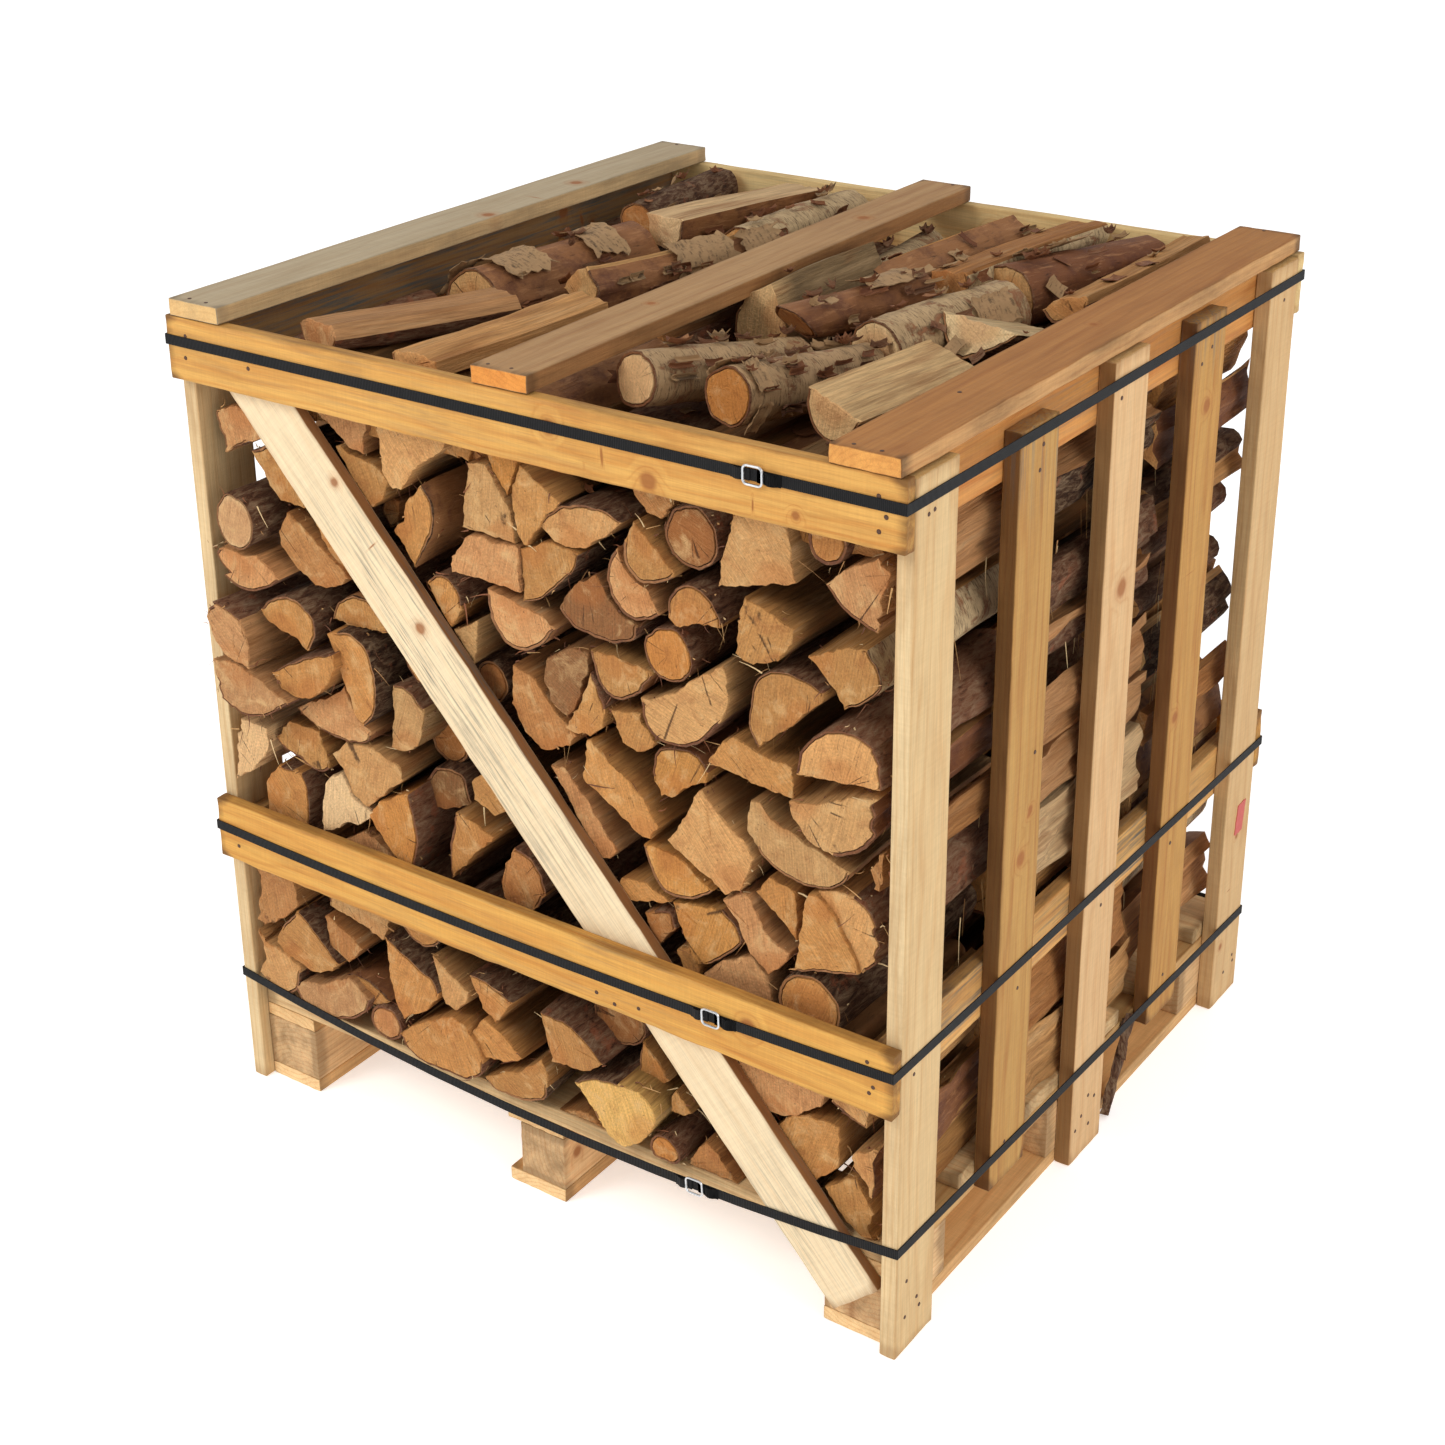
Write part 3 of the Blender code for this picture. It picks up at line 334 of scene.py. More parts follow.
# Inner bark, bare where the outer bark has come off: smooth red-brown, with long cracks and dark smears
def makeInnerBarkMaterial():
    made, tree, shader, grain, luck = newMaterial("inner_bark", "grain", "luck")
    long = addNode(tree, "VectorMath", (grain, (110.0, 18.0, 110.0)), operation="MULTIPLY")
    smear = addNode(tree, "TexNoise", {"Vector": long, "Scale": 1.0, "Detail": 7.0, "Roughness": 0.68,
                                       "Distortion": 0.4})
    cloud = addNode(tree, "TexNoise", {"Vector": grain, "Scale": 24.0, "Detail": 6.0, "Roughness": 0.7})
    colour = addNode(tree, "Mix", {0: luck, 6: paint("9a6a40"), 7: paint("744628")}, 2, data_type="RGBA")
    colour = stainWhere(tree, colour, cloud, 0.48, 0.66, 0.0, 0.8, "5a3322")
    colour = stainWhere(tree, colour, smear, 0.54, 0.72, 0.0, 0.65, "c08c5e")
    colour = stainWhere(tree, colour, smear, 0.40, 0.30, 0.0, 0.8, "2c1810")
    bump = addNode(tree, "Bump", {"Strength": 0.9, "Distance": 0.0030, "Height": smear})
    setInputs(shader, {"Base Color": colour, "Roughness": 0.7, "Specular IOR Level": 0.3, "Normal": bump})
    return made


# Woven polyester strap: black, with fine ribs across it, slightly shiny
def makeStrapMaterial():
    made, tree, shader = newMaterial("woven_polyester")
    place = addNode(tree, "TexCoord", (), "Object")
    alongX, alongY = (addNode(tree, "SeparateXYZ", (place,), axis) for axis in "XY")
    along = addNode(tree, "Math", (alongX, alongY), operation="ADD")
    # Ribs are 1.2 mm apart, and are drawn 2.4 mm apart so that they show
    ribs = addNode(tree, "Math", (along, 2 * math.pi / 0.0024), operation="MULTIPLY")
    ribs = addNode(tree, "Math", (ribs,), operation="SINE")
    dust = addNode(tree, "TexNoise", {"Vector": place, "Scale": 60.0, "Detail": 5.0})
    shade = addNode(tree, "MapRange", (ribs, -1.0, 1.0, 0.25, 0.75))
    shade = addNode(tree, "Math", (shade, dust), operation="MULTIPLY")
    colour = addNode(tree, "Mix", {0: shade, 6: paint("0a0a0b"), 7: paint("262526")}, 2, data_type="RGBA")
    bump = addNode(tree, "Bump", {"Strength": 0.6, "Distance": 0.0006, "Height": ribs})
    setInputs(shader, {"Base Color": colour, "Roughness": 0.6, "Specular IOR Level": 0.18, "Normal": bump})
    return made


# Plain finishes that are two colours in small clouds: scale, detail, two colours and the other inputs
cloudedLooks = {
    # Galvanised steel wire: bright, a little clouded
    "galvanised_wire": (400.0, 3.0, "b9bcc0", "e4e6e8", {"Metallic": 0.95}),
    # Steel nail heads, dull and a little rusty
    "rusty_nail_steel": (700.0, 4.0, "3a3230", "6e4a34", {"Roughness": 0.6, "Metallic": 0.6}),
    # A plain daub of red marking paint, worn thin in places
    "red_marking_paint": (160.0, 5.0, "b43630", "c65648", {"Roughness": 0.55}),
}


def makeCloudedMaterial(name):
    made, tree, shader = newMaterial(name)
    scale, detail, first, second, inputs = cloudedLooks[name]
    place = addNode(tree, "TexCoord", (), "Object")
    cloud = addNode(tree, "TexNoise", {"Vector": place, "Scale": scale, "Detail": detail})
    colour = addNode(tree, "Mix", {0: cloud, 6: paint(first), 7: paint(second)}, 2, data_type="RGBA")
    setInputs(shader, {"Base Color": colour, **inputs})
    if "Roughness" not in inputs:
        setInputs(shader, {"Roughness": addNode(tree, "MapRange", (cloud, 0.0, 1.0, 0.2, 0.45))})
    return made


# Torn slivers of birch or oak: dry fibres, each sliver in its own shade
def makeSplinterMaterial():
    made, tree, shader, grain, tint = newMaterial("torn_wood_fibre", "grain", "tint")
    grit = addNode(tree, "TexNoise", {"Vector": grain, "Scale": 600.0, "Detail": 3.0})
    shade = addNode(tree, "MapRange", (grit, 0.3, 0.7, 0.7, 1.15))
    colour = addNode(tree, "VectorMath", {0: tint, "Scale": shade}, operation="SCALE")
    setInputs(shader, {"Base Color": colour, "Roughness": 0.8})
    return made


def makeCamera():
    camera = bpy.data.objects.new("camera", bpy.data.cameras.new("camera"))
    bpy.context.scene.collection.objects.link(camera)
    azimuth = math.radians(cameraView["azimuth"])
    elevation = math.radians(cameraView["elevation"])
    back = Vector((math.sin(azimuth) * math.cos(elevation),
                   -math.cos(azimuth) * math.cos(elevation), math.sin(elevation)))
    camera.location = Vector(cameraView["target"]) + back * cameraView["distance"]
    camera.rotation_mode = "QUATERNION"
    roll = Quaternion((0.0, 0.0, 1.0), math.radians(cameraView["roll"]))
    camera.rotation_quaternion = (-back).to_track_quat("-Z", "Y") @ roll
    camera.data.sensor_width = 36.0
    camera.data.lens = cameraView["lens"]
    camera.data.shift_y = cameraView["shiftY"]
    bpy.context.scene.camera = camera


def makeStudio():
    world = bpy.data.worlds.new("studio")
    world.use_nodes = True
    tree = world.node_tree
    seen = addNode(tree, "LightPath", (), "Is Camera Ray")
    strength = addNode(tree, "MapRange", (seen, 0.0, 1.0, studio["skyStrength"], 1.0))
    setInputs(tree.nodes["Background"], {"Color": (1, 1, 1, 1), "Strength": strength})
    bpy.context.scene.world = world
    bpy.context.scene.view_settings.view_transform = "Standard"
    for name in ("key", "side"):
        light = bpy.data.lights.new(name, "AREA")
        light.energy = studio[name + "Power"]
        light.size = studio[name + "Size"]
        lamp = bpy.data.objects.new(name, light)
        lamp.location = studio[name + "Place"]
        lamp.rotation_mode = "QUATERNION"
        lamp.rotation_quaternion = (Vector(studio["aim"]) - lamp.location).to_track_quat("-Z", "Y")
        bpy.context.scene.collection.objects.link(lamp)
    shape = bmesh.new()
    bmesh.ops.create_grid(shape, x_segments=1, y_segments=1, size=studio["floorSize"] / 2)
    mesh = bpy.data.meshes.new("floor")
    shape.to_mesh(mesh)
    shape.free()
    made, tree, shader = newMaterial("studio_paper")
    setInputs(shader, {"Base Color": paint("f8f8f8"), "Roughness": 0.95, "Emission Color": (1, 1, 1, 1),
                       "Emission Strength": studio["floorGlow"]})
    mesh.materials.append(made)
    floor = bpy.data.objects.new("floor", mesh)
    bpy.context.scene.collection.objects.link(floor)


def finishPiece(name, shape, materials, nodes, sharpAngle=40.0):
    mesh = bpy.data.meshes.new(name)
    bmesh.ops.recalc_face_normals(shape, faces=shape.faces)
    shape.to_mesh(mesh)
    shape.free()
    for surface in materials:
        mesh.materials.append(surface)
    mesh.shade_smooth()
    mesh.set_sharp_from_angle(angle=math.radians(sharpAngle))
    piece = bpy.data.objects.new(name, mesh)
    bpy.context.scene.collection.objects.link(piece)
    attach(piece, "root")
    if nodes:
        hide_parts(*nodes)


# A sawn board's cells, rounded corners and wear, in metres
sawnBoard = {"cellLong": 0.022, "cellWide": 0.011, "round": 0.0016, "wornAcross": 0.010, "wornAlong": 0.02}


# A sawn board. Its grain runs along its longest side; knots are (along, across, radius) in metres
# from its middle; rough is how far the edges on the low and high side of its width are torn, in metres;
# narrow gives those two faces a colour of their own; mould is (along, reach, strength) spots.
def makeBoard(node, size, centre, surface, tint, turn=(0.0, 0.0, 0.0), knots=(), rough=(0.0, 0.0),
              narrow=(None, None), endTint=None, mould=(), plain=False):
    luck = random.Random(node + "_board")
    order = sorted(range(3), key=lambda axis: -size[axis])
    long, wide, thin = (Vector([1.0 if axis == place else 0.0 for axis in range(3)]) for place in order)
    length, width, thickness = (size[place] for place in order)
    shape = bmesh.new()
    bmesh.ops.create_cube(shape, size=1.0)
    bmesh.ops.scale(shape, vec=size, verts=shape.verts)
    bmesh.ops.bevel(shape, geom=shape.edges[:], offset=min(sawnBoard["round"], thickness / 8),
                    offset_type="OFFSET", segments=2, profile=0.5, affect="EDGES", material=-1)
    cutAcross(shape, long, length, sawnBoard["cellLong"])
    cutAcross(shape, wide, width, sawnBoard["cellWide"])
    cutAcross(shape, thin, thickness, thickness / 2)
    marks = shape.verts.layers
    grainLayer, knotLayer = (marks.float_vector.new(mark) for mark in ("grain", "knot"))
    tintLayer = marks.float_color.new("tint")
    edgeLayer, mouldLayer = (marks.float.new(mark) for mark in ("edge", "mould"))
    pithAcross = luck.uniform(-0.6, 0.6) * width
    pithBelow = -luck.uniform(0.7, 1.6) * width * luck.choice((-1, 1))
    farAlong = luck.uniform(0.0, 40.0)
    allKnots = list(knots)
    for number in range(0 if plain else luck.choice((0, 1, 2, 2))):
        allKnots.append((luck.uniform(-0.46, 0.46) * length, luck.uniform(-0.34, 0.34) * width,
                         luck.uniform(0.004, 0.009)))
    allKnots = allKnots or [(9.0, 9.0, 0.01)]
    lift = luck.uniform(0.92, 1.06)
    wood = [part * lift for part in linear(tint)]
    for vert in shape.verts:
        place = vert.co.copy()
        along, across, through = place.dot(long), place.dot(wide), place.dot(thin)
        vert[grainLayer] = (along + farAlong, across - pithAcross, through - pithBelow)
        vert[tintLayer] = (*wood, 1.0)
        vert[mouldLayer] = sum(strength * math.exp(-((along - spot) / reach) ** 2)
                               for spot, reach, strength in mould)
        knot = min(allKnots, key=lambda spot: math.hypot(along - spot[0], across - spot[1]) / spot[2])
        vert[knotLayer] = ((along - knot[0]) / knot[2], (across - knot[1]) / knot[2], 0.0)
        toEnd = length / 2 - abs(along)
        toEdge = width / 2 - abs(across)
        vert[edgeLayer] = (max(0.0, 1.0 - toEdge / sawnBoard["wornAcross"]) * 0.8
                           + max(0.0, 1.0 - toEnd / sawnBoard["wornAlong"]))
        side = narrow[0] if across < 0 else narrow[1]
        if side and toEdge < 0.0004:
            vert[tintLayer] = paint(side)
        if endTint and toEnd < 0.0004:
            vert[tintLayer] = paint(endTint)
            vert[edgeLayer] = 0.2
        wobble = noiseAt(along * 7 + farAlong, across * 9, through * 20)
        fine = noiseAt(along * 60 + farAlong, across * 80, through * 90)
        shift = wide * wobble * 0.0006 * (1 if across > 0 else -1) + thin * wobble * 0.0004 + wide * fine * 0.0002
        torn = rough[0] if across < 0 else rough[1]
        if torn and toEdge < 0.006:
            tear = noiseAt(along * 34 + farAlong, through * 60, 5.0)
            tear += 0.5 * noiseAt(along * 110 + farAlong, through * 90, 9.0)
            shift += wide * (-1 if across > 0 else 1) * torn * (0.5 + 0.5 * tear)
        if toEnd < 0.004:
            chip = noiseAt(farAlong, across * 160, through * 160)
            shift += long * (-1 if along > 0 else 1) * 0.0012 * (0.5 + chip)
        vert.co = place + shift
    spin = Matrix.Rotation(turn[2], 3, "Z") @ Matrix.Rotation(turn[1], 3, "Y") @ Matrix.Rotation(turn[0], 3, "X")
    for vert in shape.verts:
        vert.co = spin @ vert.co + Vector(centre)
    finishPiece(node + "_board", shape, [surfaces[surface]], [node], sharpAngle=20.0)


def cutAcross(shape, direction, size, pitch):
    edges = [edge for edge in shape.edges
             if abs((edge.verts[1].co - edge.verts[0].co).dot(direction)) > size * 0.6]
    bmesh.ops.subdivide_edges(shape, edges=edges, cuts=max(1, round(size / pitch) - 1), use_grid_fill=True)


# What each upright and rail is: surface, wood colour, torn edges, slot, narrow faces, ends, mould
boardKinds = {
    "post_front": ("spruceStraw", "d6b786", (0.0004, 0.0), "straw_board", ("e0c698", None), "caa468", ()),
    "post_back": ("spruceStraw", "d2ae7c", (0.0010, 0.0), "straw_board", ("c8a676", None), "caa468", ()),
    "slat_front": ("pineHoney", "bd9150", (0.0022, 0.0006), "honey_board", ("7c562a", None), "a47c46",
                   ((0.47, 0.06, 0.7),)),
    "slat_middle": ("spruceStraw", "d6b080", (0.0010, 0.0004), "straw_board", ("8e6a40", None), "caa46c", ()),
    "slat_back": ("pineHoney", "c0904c", (0.0022, 0.0006), "honey_board", ("7a522a", None), "a47c46",
                  ((0.49, 0.05, 0.7),)),
    "side_top_rail": ("pineHoney", "c98c4a", (0.0, 0.0), "side_rail_board", (None, None), None,
                      ((0.0, 0.3, 0.4),)),
    "side_middle_rail": ("pineHoney", "dcaa66", (0.0, 0.0), "side_rail_board", (None, None), None,
                         ((-0.3, 0.2, 0.9), (0.12, 0.2, 0.9))),
    "skid": ("palletPine", "e0b47a", (0.0, 0.0), "pallet_board", (None, None), "f0cc96", ()),
    "stringer": ("palletPine", "dcae70", (0.0, 0.0), "pallet_board", (None, None), "e8c088", ()),
    "deck_board": ("palletPine", "ecc892", (0.0012, 0.0), "pallet_board", (None, None), None, ()),
    "block": ("palletPine", "ecc490", (0.0, 0.0), "pallet_block", (None, None), None, ()),
}


def makeStraightBoards():
    for node in frame["nodes"]:
        kind = next((start for start in boardKinds if node.startswith(start)), None)
        if kind is None:
            continue
        surface, tint, rough, slotName, narrow, endTint, mould = boardKinds[kind]
        if node == "side_top_rail_left":
            tint, mould = "a07c50", ((-0.3, 0.35, 1.0), (0.3, 0.35, 1.0))
        low, high = (Vector(corner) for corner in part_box(node))
        makeBoard(node, tuple(high - low), tuple((low + high) / 2), surface, tint,
                  knots=[(0.26, 0.006, 0.011)] if node == "slat_middle_right" else [], rough=rough, narrow=narrow,
                  endTint=endTint, mould=mould, plain=kind in ("slat_middle", "post_front"))


crossBoards = {
    "railThick": 0.0177,
    "topRailHigh": 0.082,
    "middleRailHigh": 0.089,
    "middleRailLevel": 0.398,
    "middleRailLean": 0.6,
    "braceThick": 0.0157,
    "braceY": 0.4837,
    "topThick": 0.0217,
    "topLevel": 1.1263,
    # Side, place across, width, skew in degrees, surface, wood colour, slot, right narrow face, ends
    "tops": (
        ("left", -0.4745, 0.083, 0.0, "pineGrey", "b8a688", "grey_board", "d6b482", "dcb478"),
        ("middle", -0.0055, 0.080, 0.9, "pineBrown", "b08a5e", "brown_board", "a87848", "dc9040"),
        ("right", 0.4755, 0.088, 0.0, "pineBrown", "a6723e", "brown_board", "cc9c64", "dc9c50"),
    ),
}


def makeCrossBoards():
    parts = crossBoards
    high, low = Vector(crate["braceHigh"]), Vector(crate["braceLow"])
    run, middle = low - high, (high + low) / 2
    for end, sign in (("front", -1), ("back", 1)):
        railY = sign * (crate["railBack"] + crate["deep"] / 2) / 2
        makeBoard(end + "_top_rail", (crate["wide"], parts["railThick"], parts["topRailHigh"]),
                  (0.0, railY, crate["railTop"] - parts["topRailHigh"] / 2),
                  "pineHoney" if end == "front" else "spruceStraw", "dca758" if end == "front" else "e0c48a",
                  knots=[(0.070, 0.010, 0.009), (0.205, -0.026, 0.010)], rough=(0.0014, 0.0006),
                  mould=((-0.2, 0.3, 0.25),))
        makeBoard(end + "_middle_rail", (crate["wide"], parts["railThick"], parts["middleRailHigh"]),
                  (0.0, railY, parts["middleRailLevel"]), "pineHoney", "d8a250",
                  turn=(0.0, -sign * math.radians(parts["middleRailLean"]), 0.0), rough=(0.0040, 0.0006),
                  knots=[(0.33, 0.01, 0.010)], mould=((0.0, 0.3, 0.25),))
        makeBoard(end + "_brace", (run.length, parts["braceThick"], crate["braceWide"]),
                  (-sign * middle.x, sign * parts["braceY"], middle.y), "spruceBrace", "e8d2ac",
                  turn=(0.0, -sign * math.atan2(-run.y, run.x), 0.0), rough=(0.0020, 0.0024),
                  knots=[(-0.27, 0.012, 0.007)], narrow=(None, "8a5c34"),
                  mould=((-0.28, 0.16, 1.0), (-0.02, 0.14, 0.6), (0.56, 0.10, 0.5)))
    for side, x, wide, skew, surface, tint, slotName, rightFace, endTint in parts["tops"]:
        makeBoard("top_board_" + side, (wide, crate["deep"], parts["topThick"]), (x, -0.001, parts["topLevel"]),
                  surface, tint, turn=(0.0, 0.0, math.radians(skew)), narrow=(None, rightFace),
                  rough=(0.0010, 0.0026 if side == "right" else 0.0010), endTint=endTint)


toneColours = {
    "cream": "efca94",
    "honey": "e4ba82",
    "tan": "c68c4e",
    "pale": "d09c62",
    "pink": "ca925e",
    "orange": "d0904a",
    "brown": "ba804a",
    "dark": "94653c",
    "yellow": "e2b266",
    "white": "e2b986",
}

# Log ends on the front: how far out, wood tone, where the bark is in degrees from the right, corners
frontLogs = (
    # Upper left
    (20, "pink", -100, ((-475, 940), (-432, 953), (-390, 950), (-380, 925), (-425, 905), (-462, 887))),
    (12, "tan", 50, ((-416, 900), (-385, 915), (-340, 895), (-315, 860), (-335, 842), (-374, 843),
        (-397, 870))),
    (5, "brown", None, ((-383, 805), (-366, 832), (-345, 822), (-300, 790), (-268, 768), (-300, 748),
        (-328, 745), (-355, 762), (-380, 785))),
    (0, "tan", 45, ((-325, 835), (-290, 850), (-250, 820), (-245, 785), (-268, 770), (-300, 792))),
    (22, "pink", -90, ((-500, 758), (-482, 764), (-447, 758), (-424, 764), (-401, 751), (-387, 739),
        (-405, 724), (-432, 712), (-458, 710), (-485, 722), (-499, 735))),
    (22, "tan", 60, ((-428, 693), (-408, 713), (-376, 724), (-345, 715), (-331, 695), (-335, 675),
        (-349, 653), (-370, 668), (-393, 670), (-412, 680))),
    (0, "tan", 80, ((-305, 708), (-299, 731), (-274, 749), (-245, 750), (-222, 735), (-212, 712),
        (-260, 706))),
    (8, "tan", None, ((-278, 933), (-270, 935), (-251, 926), (-228, 924), (-195, 908), (-201, 893),
        (-212, 878), (-228, 866), (-251, 889))),
    (0, "pink", None, ((-305, 968), (-300, 1000), (-225, 1005), (-228, 960), (-234, 930), (-251, 932),
        (-274, 947))),
    (12, "pale", None, ((-213, 975), (-208, 916), (-199, 899), (-180, 899), (-155, 928), (-112, 962),
        (-100, 990), (-150, 1005), (-205, 1000))),
    (10, "tan", 10, ((-149, 913), (-135, 897), (-131, 874), (-135, 855), (-151, 832), (-166, 806),
        (-197, 847), (-182, 862), (-174, 889))),
    (-30, "brown", 180, ((-215, 872), (-200, 890), (-182, 885), (-188, 858), (-200, 848))),
    (4, "tan", 70, ((-150, 793), (-139, 807), (-122, 810), (-105, 801), (-97, 785), (-99, 770),
        (-116, 744), (-135, 770))),
    (0, "pale", None, ((-114, 743), (-76, 764), (-78, 732), (-85, 707), (-100, 724))),
    (8, "pink", -90, ((-60, 808), (-62, 789), (-54, 762), (-38, 745), (-20, 738), (0, 742), (20, 758),
        (38, 780), (15, 795), (-20, 800))),
    (8, "pale", None, ((-80, 953), (-54, 957), (-20, 908), (-16, 870), (-93, 872), (-86, 915))),
    (10, "pink", None, ((-112, 835), (-85, 866), (-65, 868), (-12, 866), (-12, 812), (-111, 814))),
    (6, "tan", -40, ((-9, 866), (30, 884), (74, 878), (68, 858), (49, 839), (22, 812), (-8, 802))),
    (2, "orange", None, ((-58, 985), (-45, 950), (-24, 925), (-10, 955), (-2, 985))),
    (8, "tan", None, ((-18, 939), (-5, 964), (51, 932), (30, 912), (3, 872), (-3, 870), (-14, 885),
        (-18, 916))),
    (-8, "tan", None, ((-100, 990), (-98, 960), (-76, 952), (-66, 985))),
    # Upper right
    (4, "pale", 90, ((18, 901), (40, 925), (72, 939), (110, 938), (134, 928), (110, 905), (80, 885),
        (55, 880), (35, 888))),
    (12, "tan", -110, ((132, 903), (147, 933), (203, 885), (195, 874), (165, 862), (149, 864), (134, 878))),
    (6, "pink", -140, ((109, 858), (113, 882), (126, 901), (134, 878), (149, 864), (163, 860), (180, 832),
        (168, 822), (149, 816), (130, 820), (115, 835))),
    (6, "tan", 90, ((188, 847), (195, 866), (211, 877), (230, 878), (249, 866), (261, 849), (259, 835),
        (226, 832), (201, 825), (190, 832))),
    (6, "dark", -60, ((42, 808), (63, 841), (95, 860), (111, 835), (130, 820), (151, 814), (149, 793),
        (118, 782), (92, 783), (57, 789))),
    (0, "brown", None, ((147, 990), (149, 962), (165, 945), (185, 941), (197, 958), (202, 990))),
    (12, "pale", None, ((278, 1000), (278, 975), (259, 912), (255, 882), (353, 908), (347, 940),
        (338, 1000))),
    (10, "pink", -140, ((386, 917), (407, 937), (442, 955), (461, 960), (465, 947), (463, 908), (449, 877),
        (434, 878), (407, 893))),
    (14, "tan", None, ((288, 882), (349, 858), (349, 839), (330, 816), (299, 803), (276, 812), (282, 866))),
    (6, "tan", -10, ((365, 832), (400, 850), (438, 858), (451, 839), (457, 816), (434, 793), (411, 783),
        (388, 812))),
    (10, "tan", 150, ((292, 751), (296, 775), (303, 793), (320, 805), (338, 810), (365, 806), (388, 797),
        (384, 782), (334, 735), (305, 709), (293, 724))),
    (16, "pale", 90, ((351, 692), (357, 724), (376, 747), (399, 760), (422, 762), (449, 751), (465, 728),
        (468, 703), (410, 697))),
    (8, "pale", -100, ((150, 728), (180, 735), (199, 749), (230, 774), (261, 795), (267, 781), (268, 755),
        (257, 724), (240, 700), (212, 681), (188, 678), (168, 682), (153, 700))),
    (6, "tan", -90, ((84, 768), (110, 770), (165, 762), (168, 757), (149, 728), (126, 714), (103, 716),
        (88, 741))),
    (4, "dark", None, ((15, 712), (22, 743), (42, 758), (65, 766), (83, 764), (80, 740), (70, 715),
        (62, 690), (50, 672), (25, 690))),
    (8, "tan", 70, ((84, 741), (97, 722), (103, 700), (99, 675), (80, 660), (57, 658), (45, 662),
        (62, 690), (72, 715))),
    (4, "tan", None, ((109, 703), (115, 682), (126, 666), (145, 659), (165, 670), (172, 678), (153, 697),
        (151, 708), (134, 707))),
    (6, "brown", None, ((-28, 722), (0, 715), (15, 700), (30, 682), (62, 655), (50, 640), (25, 627),
        (8, 622), (-15, 640), (-33, 672), (-30, 700))),
    # Middle left
    (45, "pink", 100, ((-456, 603), (-451, 635), (-462, 670), (-505, 688), (-533, 672), (-551, 641),
        (-497, 611))),
    (34, "tan", 110, ((-416, 610), (-385, 632), (-351, 649), (-308, 662), (-307, 643), (-312, 628),
        (-335, 601), (-355, 587), (-378, 585), (-401, 591))),
    (20, "tan", 0, ((-316, 687), (-289, 699), (-266, 695), (-251, 683), (-241, 658), (-241, 612),
        (-251, 589), (-266, 576), (-282, 589), (-293, 624), (-305, 655))),
    (12, "pink", -90, ((-378, 572), (-355, 587), (-320, 603), (-293, 624), (-274, 583), (-255, 572),
        (-259, 555), (-289, 547), (-328, 547), (-358, 558))),
    (4, "pale", 90, ((-214, 647), (-193, 651), (-166, 628), (-168, 608), (-172, 585), (-189, 566),
        (-212, 558), (-224, 560), (-218, 601))),
    (45, "pink", -90, ((-392, 573), (-430, 545), (-460, 533), (-495, 540), (-525, 560), (-532, 584),
        (-520, 602), (-480, 606), (-445, 598))),
    (22, "white", None, ((-478, 530), (-435, 528), (-432, 512), (-437, 493), (-447, 482), (-462, 462),
        (-482, 447), (-505, 437), (-507, 489), (-489, 512))),
    (10, "tan", -90, ((-420, 520), (-393, 551), (-343, 549), (-332, 520), (-328, 501), (-343, 489),
        (-366, 493), (-393, 505), (-416, 510))),
    (14, "pale", None, ((-324, 524), (-297, 547), (-255, 551), (-216, 539), (-205, 520), (-228, 501),
        (-255, 478), (-274, 464), (-289, 474), (-301, 489), (-310, 507))),
    (10, "tan", 0, ((-447, 405), (-443, 455), (-420, 482), (-378, 482), (-368, 466), (-370, 424),
        (-376, 385), (-440, 385))),
    (16, "white", None, ((-351, 405), (-349, 451), (-339, 482), (-312, 501), (-293, 474), (-274, 466),
        (-258, 462), (-266, 451), (-289, 435), (-312, 428), (-335, 412))),
    (6, "pink", None, ((-316, 405), (-282, 428), (-258, 424), (-235, 405), (-250, 380), (-300, 380))),
    (16, "orange", 0, ((-274, 455), (-251, 478), (-216, 501), (-201, 505), (-191, 474), (-189, 443),
        (-195, 412), (-205, 392), (-224, 405), (-251, 430))),
    (8, "tan", 180, ((-128, 504), (-66, 487), (-97, 455), (-120, 428), (-139, 408), (-141, 451))),
    (0, "brown", 45, ((-62, 412), (-64, 428), (-53, 455), (-39, 484), (-15, 480), (5, 455), (8, 435),
        (-5, 412), (-20, 400), (-55, 400))),
    (0, "tan", None, ((-101, 551), (-97, 528), (-66, 516), (-30, 530), (-25, 560), (-60, 585))),
    (-25, "dark", 90, ((-185, 520), (-150, 560), (-110, 560), (-100, 520), (-140, 500), (-175, 495))),
    # Middle right
    (8, "tan", None, ((74, 655), (80, 655), (149, 608), (174, 574), (161, 555), (149, 553), (107, 578),
        (68, 605))),
    (4, "pink", None, ((22, 608), (42, 612), (72, 578), (115, 524), (103, 510), (88, 507), (57, 551))),
    (0, "orange", 100, ((163, 647), (172, 674), (195, 682), (226, 683), (242, 662), (238, 647), (218, 637),
        (191, 616), (176, 614), (165, 635))),
    (10, "pale", None, ((226, 637), (232, 638), (257, 612), (284, 593), (301, 574), (295, 555), (280, 528),
        (261, 516), (242, 528), (203, 547), (184, 562), (207, 597), (218, 620))),
    (8, "tan", None, ((238, 674), (257, 705), (272, 716), (303, 705), (349, 701), (349, 662), (318, 662),
        (280, 668))),
    (12, "pale", -20, ((343, 658), (388, 670), (422, 685), (459, 693), (457, 662), (445, 635), (418, 612),
        (399, 608), (372, 616), (349, 639))),
    (8, "pale", -80, ((295, 643), (307, 645), (326, 628), (349, 620), (380, 610), (422, 597), (415, 578),
        (395, 566), (365, 560), (334, 566), (307, 582), (291, 608), (291, 628))),
    (4, "brown", None, ((445, 608), (455, 628), (468, 631), (468, 585), (455, 583))),
    (10, "tan", -80, ((368, 555), (380, 557), (403, 535), (430, 489), (434, 474), (403, 464), (351, 451),
        (355, 489), (359, 520))),
    (4, "pale", 0, ((380, 562), (403, 571), (426, 570), (449, 558), (465, 528), (461, 501), (438, 478),
